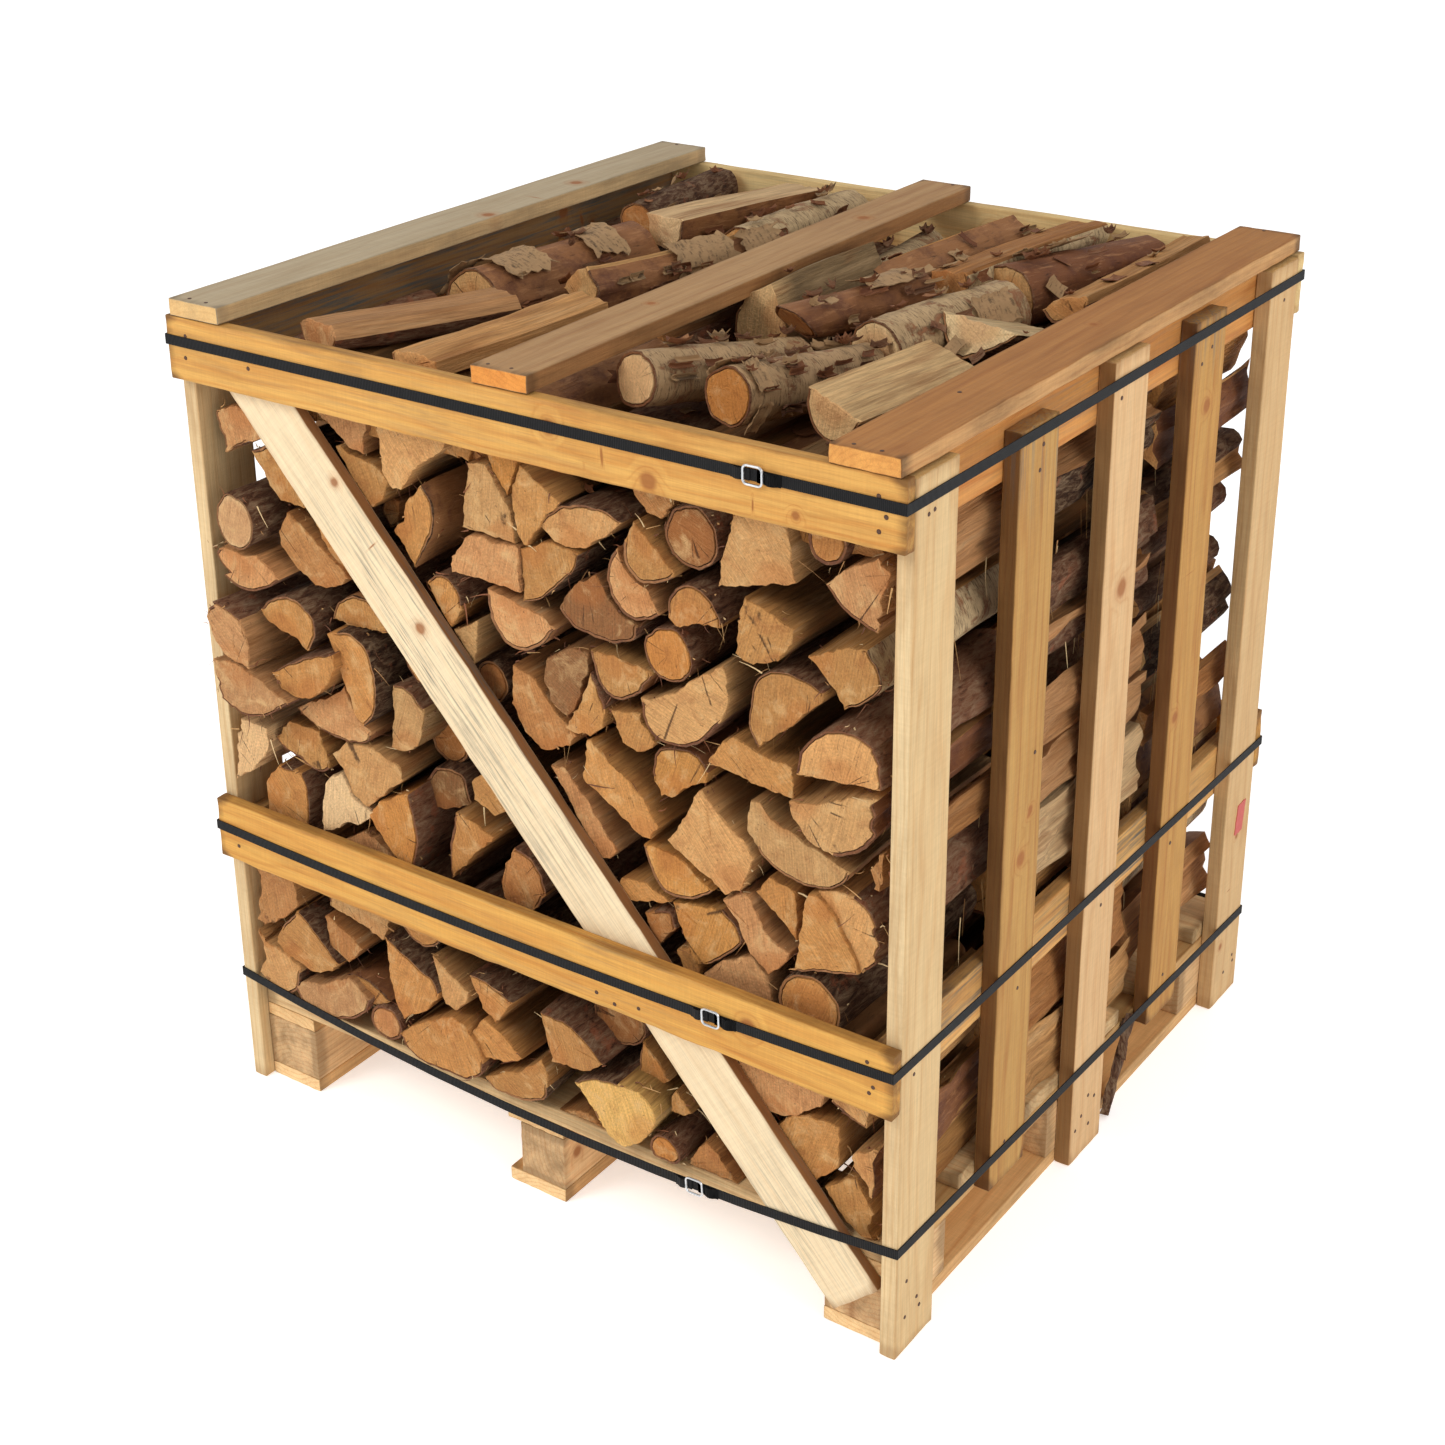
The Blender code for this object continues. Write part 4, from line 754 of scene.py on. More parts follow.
        (422, 501), (403, 535))),
    (2, "tan", None, ((301, 535), (318, 558), (353, 551), (355, 520), (355, 489), (326, 516), (307, 528))),
    (6, "orange", -90, ((149, 547), (195, 547), (226, 528), (245, 516), (230, 501), (203, 489), (184, 489),
        (168, 497), (157, 520))),
    (4, "tan", None, ((103, 462), (118, 493), (149, 497), (172, 489), (188, 483), (149, 470), (107, 458))),
    (0, "brown", 40, ((149, 458), (172, 470), (190, 472), (195, 451), (172, 424), (165, 420), (157, 435))),
    (4, "orange", 0, ((188, 485), (226, 493), (257, 497), (280, 482), (288, 466), (268, 443), (242, 420),
        (218, 412), (207, 439), (195, 462))),
    (8, "pink", None, ((257, 510), (284, 528), (297, 524), (307, 501), (322, 478), (347, 472), (342, 458),
        (318, 433), (292, 451), (280, 482))),
    (0, "tan", None, ((193, 424), (211, 433), (226, 412), (226, 400), (205, 395))),
    (2, "pink", None, ((230, 405), (257, 432), (295, 451), (318, 432), (324, 400), (320, 385), (240, 385))),
    # Lower left
    (15, "brown", None, ((-500, 345), (-415, 345), (-408, 280), (-428, 257), (-474, 228), (-497, 235))),
    (15, "tan", 60, ((-457, 210), (-435, 249), (-408, 274), (-385, 257), (-341, 216), (-355, 199),
        (-389, 187), (-412, 191), (-443, 199))),
    (35, "pale", -80, ((-505, 222), (-478, 205), (-435, 197), (-412, 183), (-422, 145), (-447, 128),
        (-474, 133), (-497, 147), (-505, 165))),
    (18, "pink", -90, ((-430, 153), (-408, 168), (-378, 174), (-351, 191), (-328, 203), (-293, 180),
        (-293, 164), (-320, 141), (-355, 126), (-385, 119), (-408, 124))),
    (8, "tan", 90, ((-331, 205), (-310, 214), (-285, 208), (-255, 191), (-280, 177), (-295, 170))),
    (20, "tan", -90, ((-247, 147), (-201, 183), (-155, 207), (-135, 199), (-120, 183), (-105, 160),
        (-107, 137), (-135, 118), (-174, 110), (-216, 114), (-235, 130))),
    (14, "tan", 60, ((-258, 287), (-228, 272), (-172, 245), (-174, 226), (-197, 199), (-235, 172),
        (-245, 183), (-255, 222))),
    (8, "brown", None, ((-362, 282), (-355, 285), (-320, 268), (-295, 253), (-309, 241), (-324, 224),
        (-355, 239))),
    (10, "pale", None, ((-180, 287), (-151, 268), (-122, 253), (-128, 233), (-147, 216), (-164, 220),
        (-174, 253))),
    (10, "tan", 60, ((-122, 280), (-97, 282), (-51, 264), (-70, 237), (-83, 222), (-103, 237))),
    (12, "tan", None, ((-103, 224), (-78, 214), (-41, 185), (-58, 174), (-105, 164), (-120, 183),
        (-124, 195))),
    (14, "tan", -90, ((-105, 137), (-66, 160), (-47, 168), (-12, 199), (-3, 176), (-5, 141), (-39, 122),
        (-97, 122))),
    (0, "pale", 90, ((-355, 345), (-350, 300), (-300, 290), (-262, 278), (-250, 300), (-245, 345))),
    (4, "tan", -90, ((-235, 345), (-230, 312), (-210, 295), (-190, 290), (-170, 300), (-150, 345))),
    # Lower right
    (16, "tan", 45, ((-12, 266), (22, 268), (57, 253), (84, 226), (53, 203), (22, 201), (3, 200), (-3, 230))),
    (18, "yellow", 150, ((36, 185), (65, 203), (103, 208), (134, 207), (155, 191), (159, 168), (134, 133),
        (111, 118), (88, 124), (65, 153))),
    (0, "brown", None, ((205, 122), (211, 153), (230, 178), (249, 164), (276, 133), (255, 122))),
    (-20, "tan", 180, ((136, 249), (142, 284), (161, 264), (180, 241), (149, 203), (134, 214))),
    (-6, "tan", None, ((180, 222), (188, 233), (211, 207), (199, 199), (180, 199))),
    (0, "brown", None, ((11, 122), (30, 141), (57, 149), (84, 126), (80, 120))),
    (6, "pink", 90, ((268, 345), (272, 297), (288, 262), (305, 249), (334, 253), (362, 268), (388, 287),
        (398, 320), (395, 345))),
    (4, "pale", -90, ((402, 340), (400, 300), (422, 287), (447, 282), (462, 300), (460, 340))),
    (8, "tan", None, ((326, 237), (349, 264), (388, 272), (413, 272), (411, 214), (382, 185), (365, 195))),
    (4, "pale", 0, ((428, 241), (453, 257), (465, 260), (465, 191), (453, 203), (430, 226))),
    (6, "tan", None, ((392, 183), (434, 214), (465, 164), (463, 137), (442, 129), (422, 145))),
)

# Round ends: how far out, wood tone, middle, half width and half height
roundLogs = (
    (30, "white", -455, 800, 33, 38), (0, "dark", 223, 931, 37, 38), (2, "orange", 190, 789, 34, 34),
    (4, "tan", 388, 962, 26, 26), (4, "tan", 371, 412, 44, 42), (12, "pink", -267, 156, 30, 28),
    (12, "orange", 170, 138, 25, 25), (-25, "dark", 110, 300, 40, 38), (-30, "tan", 300, 200, 40, 40),
    (-40, "brown", -218, 672, 24, 22), (-45, "brown", -128, 600, 32, 36),
    # Behind the brace and the middle rail
    (-10, "tan", -262, 850, 30, 32), (-10, "tan", -205, 790, 26, 28), (-10, "tan", -160, 690, 34, 36),
    (-10, "tan", -90, 630, 32, 34), (-12, "tan", 20, 530, 36, 36), (-12, "tan", 70, 470, 28, 30),
    (-12, "tan", 210, 290, 28, 34), (-12, "tan", 290, 215, 30, 32), (-12, "tan", 345, 160, 30, 30),
    (6, "tan", -200, 360, 30, 28), (6, "tan", -120, 355, 34, 30), (6, "tan", -30, 350, 38, 32),
    (6, "tan", 60, 360, 34, 30), (6, "tan", 150, 365, 36, 30), (-20, "brown", -60, 690, 26, 30),
)

# Logs at the top of each row, whose fronts the top rail or the rows before them hide
topLogs = {
    "front": (
        (-10, "pale", 90, "dark", ((-440, 950), (-362, 950), (-368, 1010), (-400, 1030), (-436, 1005))),
        (-14, "pale", None, "dark", ((-358, 950), (-248, 950), (-262, 1032), (-318, 1036), (-352, 1020))),
        (-10, "tan", None, "dark", ((-240, 950), (-100, 950), (-112, 1034), (-180, 1038), (-232, 1030))),
        (-16, "brown", 90, "inner", ((-94, 950), (0, 950), (-8, 1004), (-46, 1026), (-84, 1008))),
        (-40, "brown", 90, "dark", ((6, 950), (118, 950), (112, 980), (60, 992), (14, 984))),
        (-40, "tan", 90, "inner", ((124, 950), (250, 950), (242, 978), (196, 990), (150, 984))),
        (-12, "tan", None, "dark", ((262, 950), (380, 950), (372, 1000), (322, 1008), (272, 1000))),
        (-12, "pale", 90, "dark", ((388, 950), (448, 950), (444, 1004), (420, 1028), (392, 1006))),
    ),
    "middle": (
        (-310, "tan", 90, "dark", ((-224, 950), (-116, 950), (-130, 1004), (-222, 1000))),
        (-310, "brown", 90, "dark", ((-100, 950), (-10, 950), (-40, 1030), (-92, 1020))),
        (-390, "honey", 200, "dark", ((8, 1034), (18, 960), (86, 992), (84, 1040), (62, 1082), (28, 1066))),
        (-310, "tan", 90, "inner", ((176, 950), (270, 950), (262, 974), (180, 974))),
        (-310, "tan", 90, "dark", ((300, 950), (436, 950), (430, 1006), (380, 1016), (304, 998))),
    ),
    "back": (
        (-14, "tan", 90, "dark", ((-450, 950), (-376, 950), (-380, 1010), (-440, 1016))),
        (-16, "tan", 90, "dark", ((-302, 950), (-196, 950), (-210, 1018), (-300, 1010))),
        (-12, "tan", 90, "inner", ((-180, 950), (-88, 950), (-96, 1010), (-130, 1036), (-172, 1010))),
        (-18, "brown", 90, "dark", ((-70, 950), (34, 950), (28, 996), (-20, 1010), (-64, 996))),
        (-12, "orange", 90, "dark", ((60, 950), (156, 950), (150, 996), (112, 1010), (70, 1000))),
        (-12, "tan", 90, "dark", ((170, 950), (310, 950), (300, 990), (240, 1000), (180, 990))),
        (-14, "pale", 90, "dark", ((326, 950), (440, 950), (430, 1010), (353, 1018), (330, 1004))),
    ),
}

# Round logs between the others at the back: middle and half size
backRounds = (
    (332, 202, 46), (-320, 190, 44), (116, 698, 39), (32, 818, 39), (-120, 186, 38), (-28, 514, 38),
    (228, 766, 37), (36, 702, 36), (-384, 770, 35), (-36, 894, 35), (-420, 474, 34), (-96, 710, 32),
    (-80, 810, 32), (-196, 178, 32),
    (-424, 262, 32), (-160, 366, 32), (232, 890, 32), (-164, 714, 31), (-140, 818, 29), (264, 478, 28),
    (-332, 738, 28), (-164, 650, 28), (428, 746, 28), (104, 882, 28), (-384, 830, 27), (264, 234, 27),
    (388, 246, 27), (428, 674, 27), (-280, 886, 27), (-28, 834, 26), (-404, 342, 25), (-248, 170, 24),
    (160, 170, 24), (20, 646, 24), (252, 306, 23), (136, 602, 23), (-32, 614, 23), (168, 802, 23),
    (-368, 374, 23), (-324, 398, 23), (328, 754, 23), (260, 846, 23),
)

# Logs that lie on the middle and back rows: ends of the middle line, its height, dip, taper, slant of
# the saw cut, bark and corners or half sizes
restingLogs = (
    {"row": "middle", "front": (-194, -92), "back": (-128, 196), "level": 1040, "dip": 1, "tone": "pale",
     "bark": -15, "barkKind": "inner", "corners": ((-38, -4), (-2, -26), (30, -24), (36, 8), (10, 32), (-10, 26)),
     "sheets": ((20, 70, 0.10, 0.17), (-20, 80, -0.02, 0.08)), "flakes": 16},
    {"row": "middle", "front": (112, -84), "back": (166, 112), "level": 1050, "dip": 0, "tone": "brown",
     "bark": "round", "barkKind": "inner", "round": (30, 26), "slant": -0.9, "flakes": 18,
     "sheets": ((50, 130, 0.0, 0.08),)},
    {"row": "middle", "front": (225, -90), "back": (268, 134), "level": 1034, "dip": 0, "tone": "cream",
     "bark": "round", "barkKind": "birch", "round": (42, 40), "flakes": 10,
     "sheets": ((10, 60, 0.02, 0.09),)},
    {"row": "middle", "front": (319, -32), "back": (338, 96), "level": 1030, "dip": 16, "tone": "cream",
     "bark": -90, "barkKind": "dark",
     "corners": ((-58, 26), (58, 20), (34, 0), (8, -18), (-20, -26), (-44, -4)), "slant": 0.25},
    {"row": "back", "front": (243, 186), "back": (310, 446), "level": 1034, "dip": 0, "tone": "pale",
     "bark": "round", "barkKind": "inner", "round": (47, 44), "taper": 0.72, "flakes": 26,
     "sheets": ((95, 135, -0.10, 0.02),)},
    {"row": "back", "front": (192, 140), "back": (226, 448), "level": 1050, "dip": 0, "tone": "brown",
     "bark": -25, "barkKind": "birch", "corners": ((-34, 16), (20, 24), (28, 4), (12, -22), (-24, -18)),
     "flakes": 14},
    {"row": "back", "front": (66, 150), "back": (112, 438), "level": 1036, "dip": -2, "tone": "tan",
     "bark": 20, "barkKind": "inner", "corners": ((-30, -22), (30, -24), (38, 6), (4, 26), (-28, 10)),
     "flakes": 12},
    {"row": "back", "front": (46, 140), "back": (18, 388), "level": 1018, "dip": 0, "tone": "brown",
     "bark": "round", "barkKind": "birch", "round": (28, 28), "flakes": 12},
    {"row": "back", "front": (352, 128), "back": (356, 462), "level": 1044, "dip": 0, "tone": "pale",
     "bark": -90, "barkKind": "dark", "corners": ((-34, 2), (-10, 22), (26, 28), (30, 8), (-20, -16))},
    {"row": "back", "front": (-342, 220), "back": (-362, 452), "level": 1040, "dip": 0, "tone": "brown",
     "bark": "round", "barkKind": "dark", "round": (30, 28), "flakes": 10},
    {"row": "back", "front": (-150, 190), "back": (-136, 440), "level": 1040, "dip": 0, "tone": "tan",
     "bark": 60, "barkKind": "birch", "round": (34, 28), "flakes": 26},
)

# What the logs leave room for. The first four are in thousandths of the crate's width: how far logs reach
# to each side, less beside the rails, and the rails' heights. The others are in metres: room by the brace,
# the heights of the middle rail, the top rail and the deck; then how far out a log may stand
logLimits = {
    "reach": 474,
    "reachByRails": 454,
    "middleRail": (300, 425),
    "topRail": 955,
    "byBrace": 0.003,
    "nearMiddleRail": (0.344, 0.452),
    "underTopRail": 1.030,
    "overDeck": 0.190,
    "outByBrace": 2,
    "outByRails": 18,
    "outElsewhere": 45,
}


# Moves a corner that is further out along the line to the eye, so that it looks the same
def towardsEye(x, z, out):
    share = out / (crate["outlinePlane"] - crate["eye"][1])
    return x + (crate["eye"][0] - x) * share, z + (crate["eye"][2] - z) * share


def keepInside(x, z):
    low, high = logLimits["middleRail"]
    limit = logLimits["reachByRails" if low < z < high or z > logLimits["topRail"] else "reach"]
    return max(-limit, min(limit, x)), max(crate["deckTop"] / crate["step"] + 1, z)


def furthestOut(corners, braceSide):
    step = crate["step"]
    high, low = Vector(crate["braceHigh"]), Vector(crate["braceLow"])
    run = (low - high).normalized()
    beside = [(braceSide * x * step - high.x) * run.y - (z * step - high.y) * run.x for x, z in corners]
    half = crate["braceWide"] / 2 + logLimits["byBrace"]
    if min(beside) < half and max(beside) > -half:
        return logLimits["outByBrace"]
    heights = [z * step for x, z in corners]
    railLow, railHigh = logLimits["nearMiddleRail"]
    byRail = max(heights) > railLow and min(heights) < railHigh
    if byRail or max(heights) > logLimits["underTopRail"] or min(heights) < logLimits["overDeck"]:
        return logLimits["outByRails"]
    return logLimits["outElsewhere"]


def anticlockwise(corners):
    doubledArea = sum(a[0] * b[1] - b[0] * a[1] for a, b in zip(corners, corners[1:] + corners[:1]))
    return corners if doubledArea > 0 else corners[::-1]


# Where the pith of a split log is, and which of its faces are bark: far from the pith and turned from it
splitLog = {"pithOffSide": (0.03, -0.05), "pithInset": 0.95, "barkBeyond": 0.62, "barkTurned": 0.66}


# The outline of a log in metres, walked in small steps: place, outward direction and if it is bark
def walkOutline(corners, barkAt, pitch):
    step = crate["step"]
    corners = [Vector((x * step, z * step)) for x, z in anticlockwise(list(corners))]
    centre = sum(corners, Vector((0.0, 0.0))) / len(corners)
    if barkAt == "round":
        pith = centre.copy()
    elif barkAt is None:
        pith = centre + Vector(splitLog["pithOffSide"])
    else:
        heading = Vector((math.cos(math.radians(barkAt)), math.sin(math.radians(barkAt))))
        edge = min((corner - centre).dot(heading) for corner in corners)
        pith = centre + heading * edge * splitLog["pithInset"]
    walked = []
    for start, end in zip(corners, corners[1:] + corners[:1]):
        count = max(1, round((end - start).length / pitch))
        walked += [start.lerp(end, number / count) for number in range(count)]
    reach = max((place - pith).length for place in walked)

    def outward(number):
        run = walked[(number + 1) % len(walked)] - walked[number - 1]
        return Vector((run.y, -run.x)).normalized()

    def isBark(number):
        if barkAt is None:
            return False
        if barkAt == "round":
            return True
        radial = walked[number] - pith
        turned = radial.normalized().dot(outward(number))
        return radial.length > reach * splitLog["barkBeyond"] and turned > splitLog["barkTurned"]

    bark = [isBark(number) for number in range(len(walked))]
    for turn in range(3):
        walked = [place.lerp((walked[number - 1] + walked[(number + 1) % len(walked)]) / 2, 0.6)
                  if bark[number] and bark[number - 1] and bark[(number + 1) % len(walked)] else place
                  for number, place in enumerate(walked)]
    return walked, [outward(number) for number in range(len(walked))], bark, pith


def openShape():
    shape = bmesh.new()
    marks = shape.verts.layers
    return shape, {"grain": marks.float_vector.new("grain"), "tint": marks.float_color.new("tint"),
                   "saw": marks.float_vector.new("saw"), "luck": marks.float.new("luck")}


# Adds a finished log or scrap to the row's one mesh
def mergeInto(row, shape):
    mesh = bpy.data.meshes.new("part")
    shape.to_mesh(mesh)
    shape.free()
    row.from_mesh(mesh)
    bpy.data.meshes.remove(mesh)


# Extrudes the end face of a log, and gives back the new end face and its corners in the old order
def pullRing(shape, cap, ring, keepOld=False):
    order = {tuple(vert.co): number for number, vert in enumerate(ring)}
    pulled = bmesh.ops.extrude_face_region(shape, geom=[cap])["geom"]
    if not keepOld:
        bmesh.ops.delete(shape, geom=[cap], context="FACES_ONLY")
    cap = next(item for item in pulled if isinstance(item, bmesh.types.BMFace))
    return cap, sorted(cap.verts, key=lambda vert: order[tuple(vert.co)])


def middleOf(walked):
    area, middle = 0.0, Vector((0.0, 0.0))
    for start, end in zip(walked, walked[1:] + walked[:1]):
        wedge = start.x * end.y - end.x * start.y
        area += wedge
        middle += (start + end) * wedge
    return middle / (3 * area)


# How a log's faces are roughened, as waves across and along it and their height in metres; how thick its
# bark is; how far it bows; and where logs by the sides are torn back to leave room for the boards
logForm = {
    "barkRough": ((70, 26, 0.0022), (200, 80, 0.0010)),
    "splitRough": ((55, 7, 0.0030), (210, 14, 0.0013)),
    "inset": 0.0012,
    "barkThin": 0.0022,
    "barkThick": 0.0040,
    "bow": 0.003,
    "crackDeep": 0.0035,
    "besideBoards": 0.484,
    "tornBack": 0.012,
    # Which logs lie inside the pile, and how far from their ends the painted shade on them reaches
    "hiddenInside": 0.455,
    "paintedShadeReach": 0.05,
}
barkSlots = {"dark": 2, "birch": 3, "inner": 4}


# One log along y. It starts as a disc at its far end, which is pulled ring by ring to the near end,
# and there into the bark's edge, the gap under the bark, the edge of the wood and the saw cut.
def makeLog(row, corners, barkAt, near, far, tone, barkKind, seed, pitch=0.0075, rings=9, place=None, taper=1.0,
            slant=0.0):
    luck = random.Random(seed)
    walked, outs, bark, pith = walkOutline(corners, barkAt, pitch)
    count = len(walked)
    centre = middleOf(walked)
    shape, layers = openShape()
    verts = bmesh.ops.create_circle(shape, cap_ends=True, segments=count, radius=1.0)["verts"]
    cap = verts[0].link_faces[0]
    ring = list(cap.verts)
    shift = seed * 3.7
    away = 1.0 if far > near else -1.0
    barkThick = luck.uniform(logForm["barkThin"], logForm["barkThick"])
    bow = Vector((luck.uniform(-1, 1), luck.uniform(-1, 1))) * logForm["bow"]
    cracks = {luck.randrange(count): luck.uniform(0.4, 1.0) for number in range(luck.choice((0, 1, 1, 2)))}

    def sidePlace(number, y):
        here, out = walked[number], outs[number]
        waves = logForm["barkRough"] if bark[number] else logForm["splitRough"]
        rough = sum(noiseAt(here.x * across + shift, y * along, here.y * across) * high
                    for across, along, high in waves)
        share = (y - near) / (far - near)
        scaled = centre + (here - centre) * (1.0 + (taper - 1.0) * share)
        if abs(here.x) > logForm["besideBoards"] and place is None:
            wave = noiseAt(y * 11, here.y * 45, shift) + 0.4 * noiseAt(y * 30, here.y * 130, shift)
            scaled.x -= math.copysign(max(0.0, 0.5 + wave) * logForm["tornBack"], here.x)
        return scaled + out * (rough - logForm["inset"]) + bow * math.sin(math.pi * share)

    rows = []
    levels = [far + (near - far) * (number / (rings - 1)) ** 0.8 for number in range(rings - 1)]
    levels.append(near + away * 0.0016)
    for level, y in enumerate(levels):
        if level:
            cap, ring = pullRing(shape, cap, ring, keepOld=level == 1)
        for number, vert in enumerate(ring):
            spot = sidePlace(number, y)
            ragged = noiseAt(walked[number].x * 90 + shift, 3.0, walked[number].y * 90)
            push = ragged * 0.003 * away if level in (0, len(levels) - 1) else 0.0
            if level == len(levels) - 1 and not bark[number]:
                spot += outs[number] * 0.0022 * noiseAt(spot.x * 260 + shift, 1.0, spot.y * 260)
            vert.co = (spot.x, y + push, spot.y)
        rows.append(list(ring))
    # How far in each ring lies on bark and on wood, how deep it is, and if the first two are shares
    endRings = (
        (0.0010, 0.0010, 0.0, False),
        (barkThick, 0.0018, 0.0006, False),
        (barkThick + 0.0007, 0.0024, 0.0040, False),
        (barkThick + 0.0016, 0.0034, -0.0004, False),
        (0.45, 0.45, -0.0006, True),
        (0.78, 0.78, 0.0, True),
    )
    edge = [vert.co.copy() for vert in ring]
    for barkIn, woodIn, deeper, inside in endRings:
        cap, ring = pullRing(shape, cap, ring)
        for number, vert in enumerate(ring):
            inward = Vector((centre.x - edge[number].x, centre.y - edge[number].z))
            thin = min(1.0, inward.length / 0.022)
            move = barkIn if bark[number] else woodIn
            share = move if inside else min(move * thin / max(inward.length, 1e-5), 0.3)
            sink = (deeper if (bark[number] or inside) else min(deeper, 0.0)) * thin
            here = Vector((edge[number].x, edge[number].z)) + inward * share
            grit = noiseAt(here.x * 60 + shift, 8.0, here.y * 60) * 0.0010
            if number in cracks and inside:
                sink += logForm["crackDeep"] * cracks[number] * (1.0 - share) * thin
            vert.co = (here.x, near + away * (sink + grit), here.y)
        rows.append(list(ring))
    lift = luck.uniform(0.86, 1.08)
    warm = luck.uniform(0.96, 1.05)
    red, green, blue = linear(toneColours[tone])
    wood = (red * lift * warm, green * lift, blue * lift / warm)
    sawTurn = luck.uniform(-0.35, 0.35) + luck.choice((0.0, 0.0, 0.0, 0.9))
    chance = luck.random()
    # Logs inside the pile are painted darker away from their ends: painted shade, standing in for the shade in the
    # gaps between the logs
    hidden = place is None and max(abs(spot.x) for spot in walked) < logForm["hiddenInside"]
    where = {}
    for level, line in enumerate(rows):
        for number, vert in enumerate(line):
            where[vert] = (level, number)
            vert[layers["grain"]] = (vert.co.x - pith.x, vert.co.y + shift, vert.co.z - pith.y)
            inner = min(1.0, abs(vert.co.y - near) / logForm["paintedShadeReach"])
            # Painted shade: the log's colour darkens with its depth into the pile
            paintedShade = 1.0 - 0.60 * inner if hidden else 1.0
            vert[layers["tint"]] = (*(part * paintedShade for part in wood), 1.0)
            vert[layers["saw"]] = (vert.co.x * math.cos(sawTurn) + vert.co.z * math.sin(sawTurn) + shift,
                                   vert.co.z * math.cos(sawTurn) - vert.co.x * math.sin(sawTurn), seed)
            vert[layers["luck"]] = chance
            if slant and level >= len(levels) - 2:
                vert.co.y += slant * (vert.co.z - centre.y)
    for face in shape.faces:
        spots = [where[vert] for vert in face.verts]
        deepest = max(level for level, number in spots)
        allBark = all(bark[number] for level, number in spots)
        face.material_index = 0
        if len(spots) <= 4 and deepest < len(levels):
            face.material_index = barkSlots[barkKind] if allBark else 1
        elif len(spots) <= 4 and deepest <= len(levels) + 2 and allBark:
            face.material_index = 4 if deepest == len(levels) + 1 else 2
    if place is not None:
        bmesh.ops.transform(shape, matrix=place, verts=shape.verts)
    mergeInto(row, shape)


# A torn sheet of bark, bent round a log whose middle line is y, lifted and curled at its edges
def addSheet(row, place, radius, turns, reach, lift, seed, kind, cells=(9, 7), thick=0.0011):
    shape, layers = openShape()
    bmesh.ops.create_grid(shape, x_segments=cells[0], y_segments=cells[1], size=1.0)
    for vert in shape.verts:
        u, v = vert.co.x, vert.co.y
        turn = turns[0] + (turns[1] - turns[0]) * (u + 1) / 2
        turn += 0.16 * noiseAt(v * 3.0, seed * 1.7, 4.0) * abs(u) * abs(turns[1] - turns[0])
        y = reach[0] + (reach[1] - reach[0]) * (v + 1) / 2
        y += 0.20 * noiseAt(u * 2.4, seed * 2.3, 7.0) * abs(v) * abs(reach[1] - reach[0])
        curl = lift * (0.15 + 0.9 * abs(u) ** 5 + 0.7 * abs(v) ** 6)
        curl += lift * 0.25 * noiseAt(u * 1.2, v * 1.2, seed * 0.9)
        far = radius + curl
        vert.co = (far * math.cos(turn), y, far * math.sin(turn))
    bmesh.ops.solidify(shape, geom=shape.faces[:], thickness=thick)
    for vert in shape.verts:
        vert[layers["grain"]] = (vert.co.x, vert.co.y + seed * 2.1, vert.co.z)
        vert[layers["tint"]] = paint("8c5c38")
        vert[layers["luck"]] = 1.0 + (seed * 0.37) % 1.0
    for face in shape.faces:
        face.material_index = barkSlots[kind]
    bmesh.ops.transform(shape, matrix=place, verts=shape.verts)
    mergeInto(row, shape)


# Where a log lies that rests on others, and half its length
def layMatrix(look, level):
    step = crate["step"]
    front, back = Vector(look["front"]), Vector(look["back"])
    run, middle = back - front, (front + back) / 2 * step
    lean = Matrix.Rotation(-math.radians(look["dip"]), 4, "X")
    heading = Matrix.Rotation(-math.atan2(run.x, run.y), 4, "Z")
    return Matrix.Translation((middle.x, middle.y, level * step)) @ heading @ lean, run.length * step / 2


def roundCorners(halfX, halfZ, seed, sides=16, spread=0.05):
    luck = random.Random(seed)
    turns = [2 * math.pi * number / sides for number in range(sides)]
    return tuple((halfX * math.cos(turn) * luck.uniform(1 - spread, 1 + spread),
                  halfZ * math.sin(turn) * luck.uniform(1 - spread, 1 + spread)) for turn in turns)


# Scraps of bark: their size in metres
flakes = {"smallest": 0.006, "largest": 0.020, "thick": 0.0009}


def scatterFlakes(row, place, half, radius, turns, count, seed, kinds):
    luck = random.Random(seed)
    for number in range(count):
        turn = luck.uniform(*turns)
        wide = luck.uniform(flakes["smallest"], flakes["largest"]) * 0.55 / radius
        start = luck.uniform(-half, half * 0.9)
        long = luck.uniform(flakes["smallest"], flakes["largest"]) * 1.9
        addSheet(row, place, radius, (turn, turn + wide), (start, start + long), luck.uniform(0.002, 0.008),
                 seed + number, luck.choice(kinds), cells=(3, 3), thick=flakes["thick"])


def frontPlan():
    plan = []
    for number, (out, tone, barkAt, corners) in enumerate(frontLogs):
        byRightSide = max(x for x, z in corners) > 425
        kinds = ("birch", "inner", "dark") if byRightSide else ("dark", "dark", "inner", "dark")
        plan.append((out, tone, barkAt, kinds[number % len(kinds)], corners))
    for out, tone, x, z, halfX, halfZ in roundLogs:
        around = roundCorners(halfX, halfZ, x * 1000 + z, sides=14, spread=0.04)
        plan.append((out, tone, "round", "dark", tuple((x + aside, z + above) for aside, above in around)))
    return plan


def logSurfaces():
    return [surfaces[name] for name in ("sawCut", "splitFace", "darkBark", "birchBark", "innerBark")]


# Which way each row faces, where its logs' far ends are, and the first seeds of its logs
rowLooks = {
    "front": {"facing": 1, "far": -0.150, "firstLog": 1, "firstTop": 301, "firstResting": 0},
    "middle": {"facing": 1, "near": -0.149, "far": 0.179, "firstLog": 501, "firstTop": 701, "firstResting": 1401},
    "back": {"facing": -1, "far": 0.181, "firstLog": 901, "firstRound": 2001, "firstTop": 1101,
             "firstResting": 1501},
    "uneven": 0.022,
    "frontPitch": 0.0058,
    "hiddenPitch": 0.012,
}


def nearEnd(out, look):
    return look["facing"] * (crate["outlinePlane"] - out) * crate["step"]


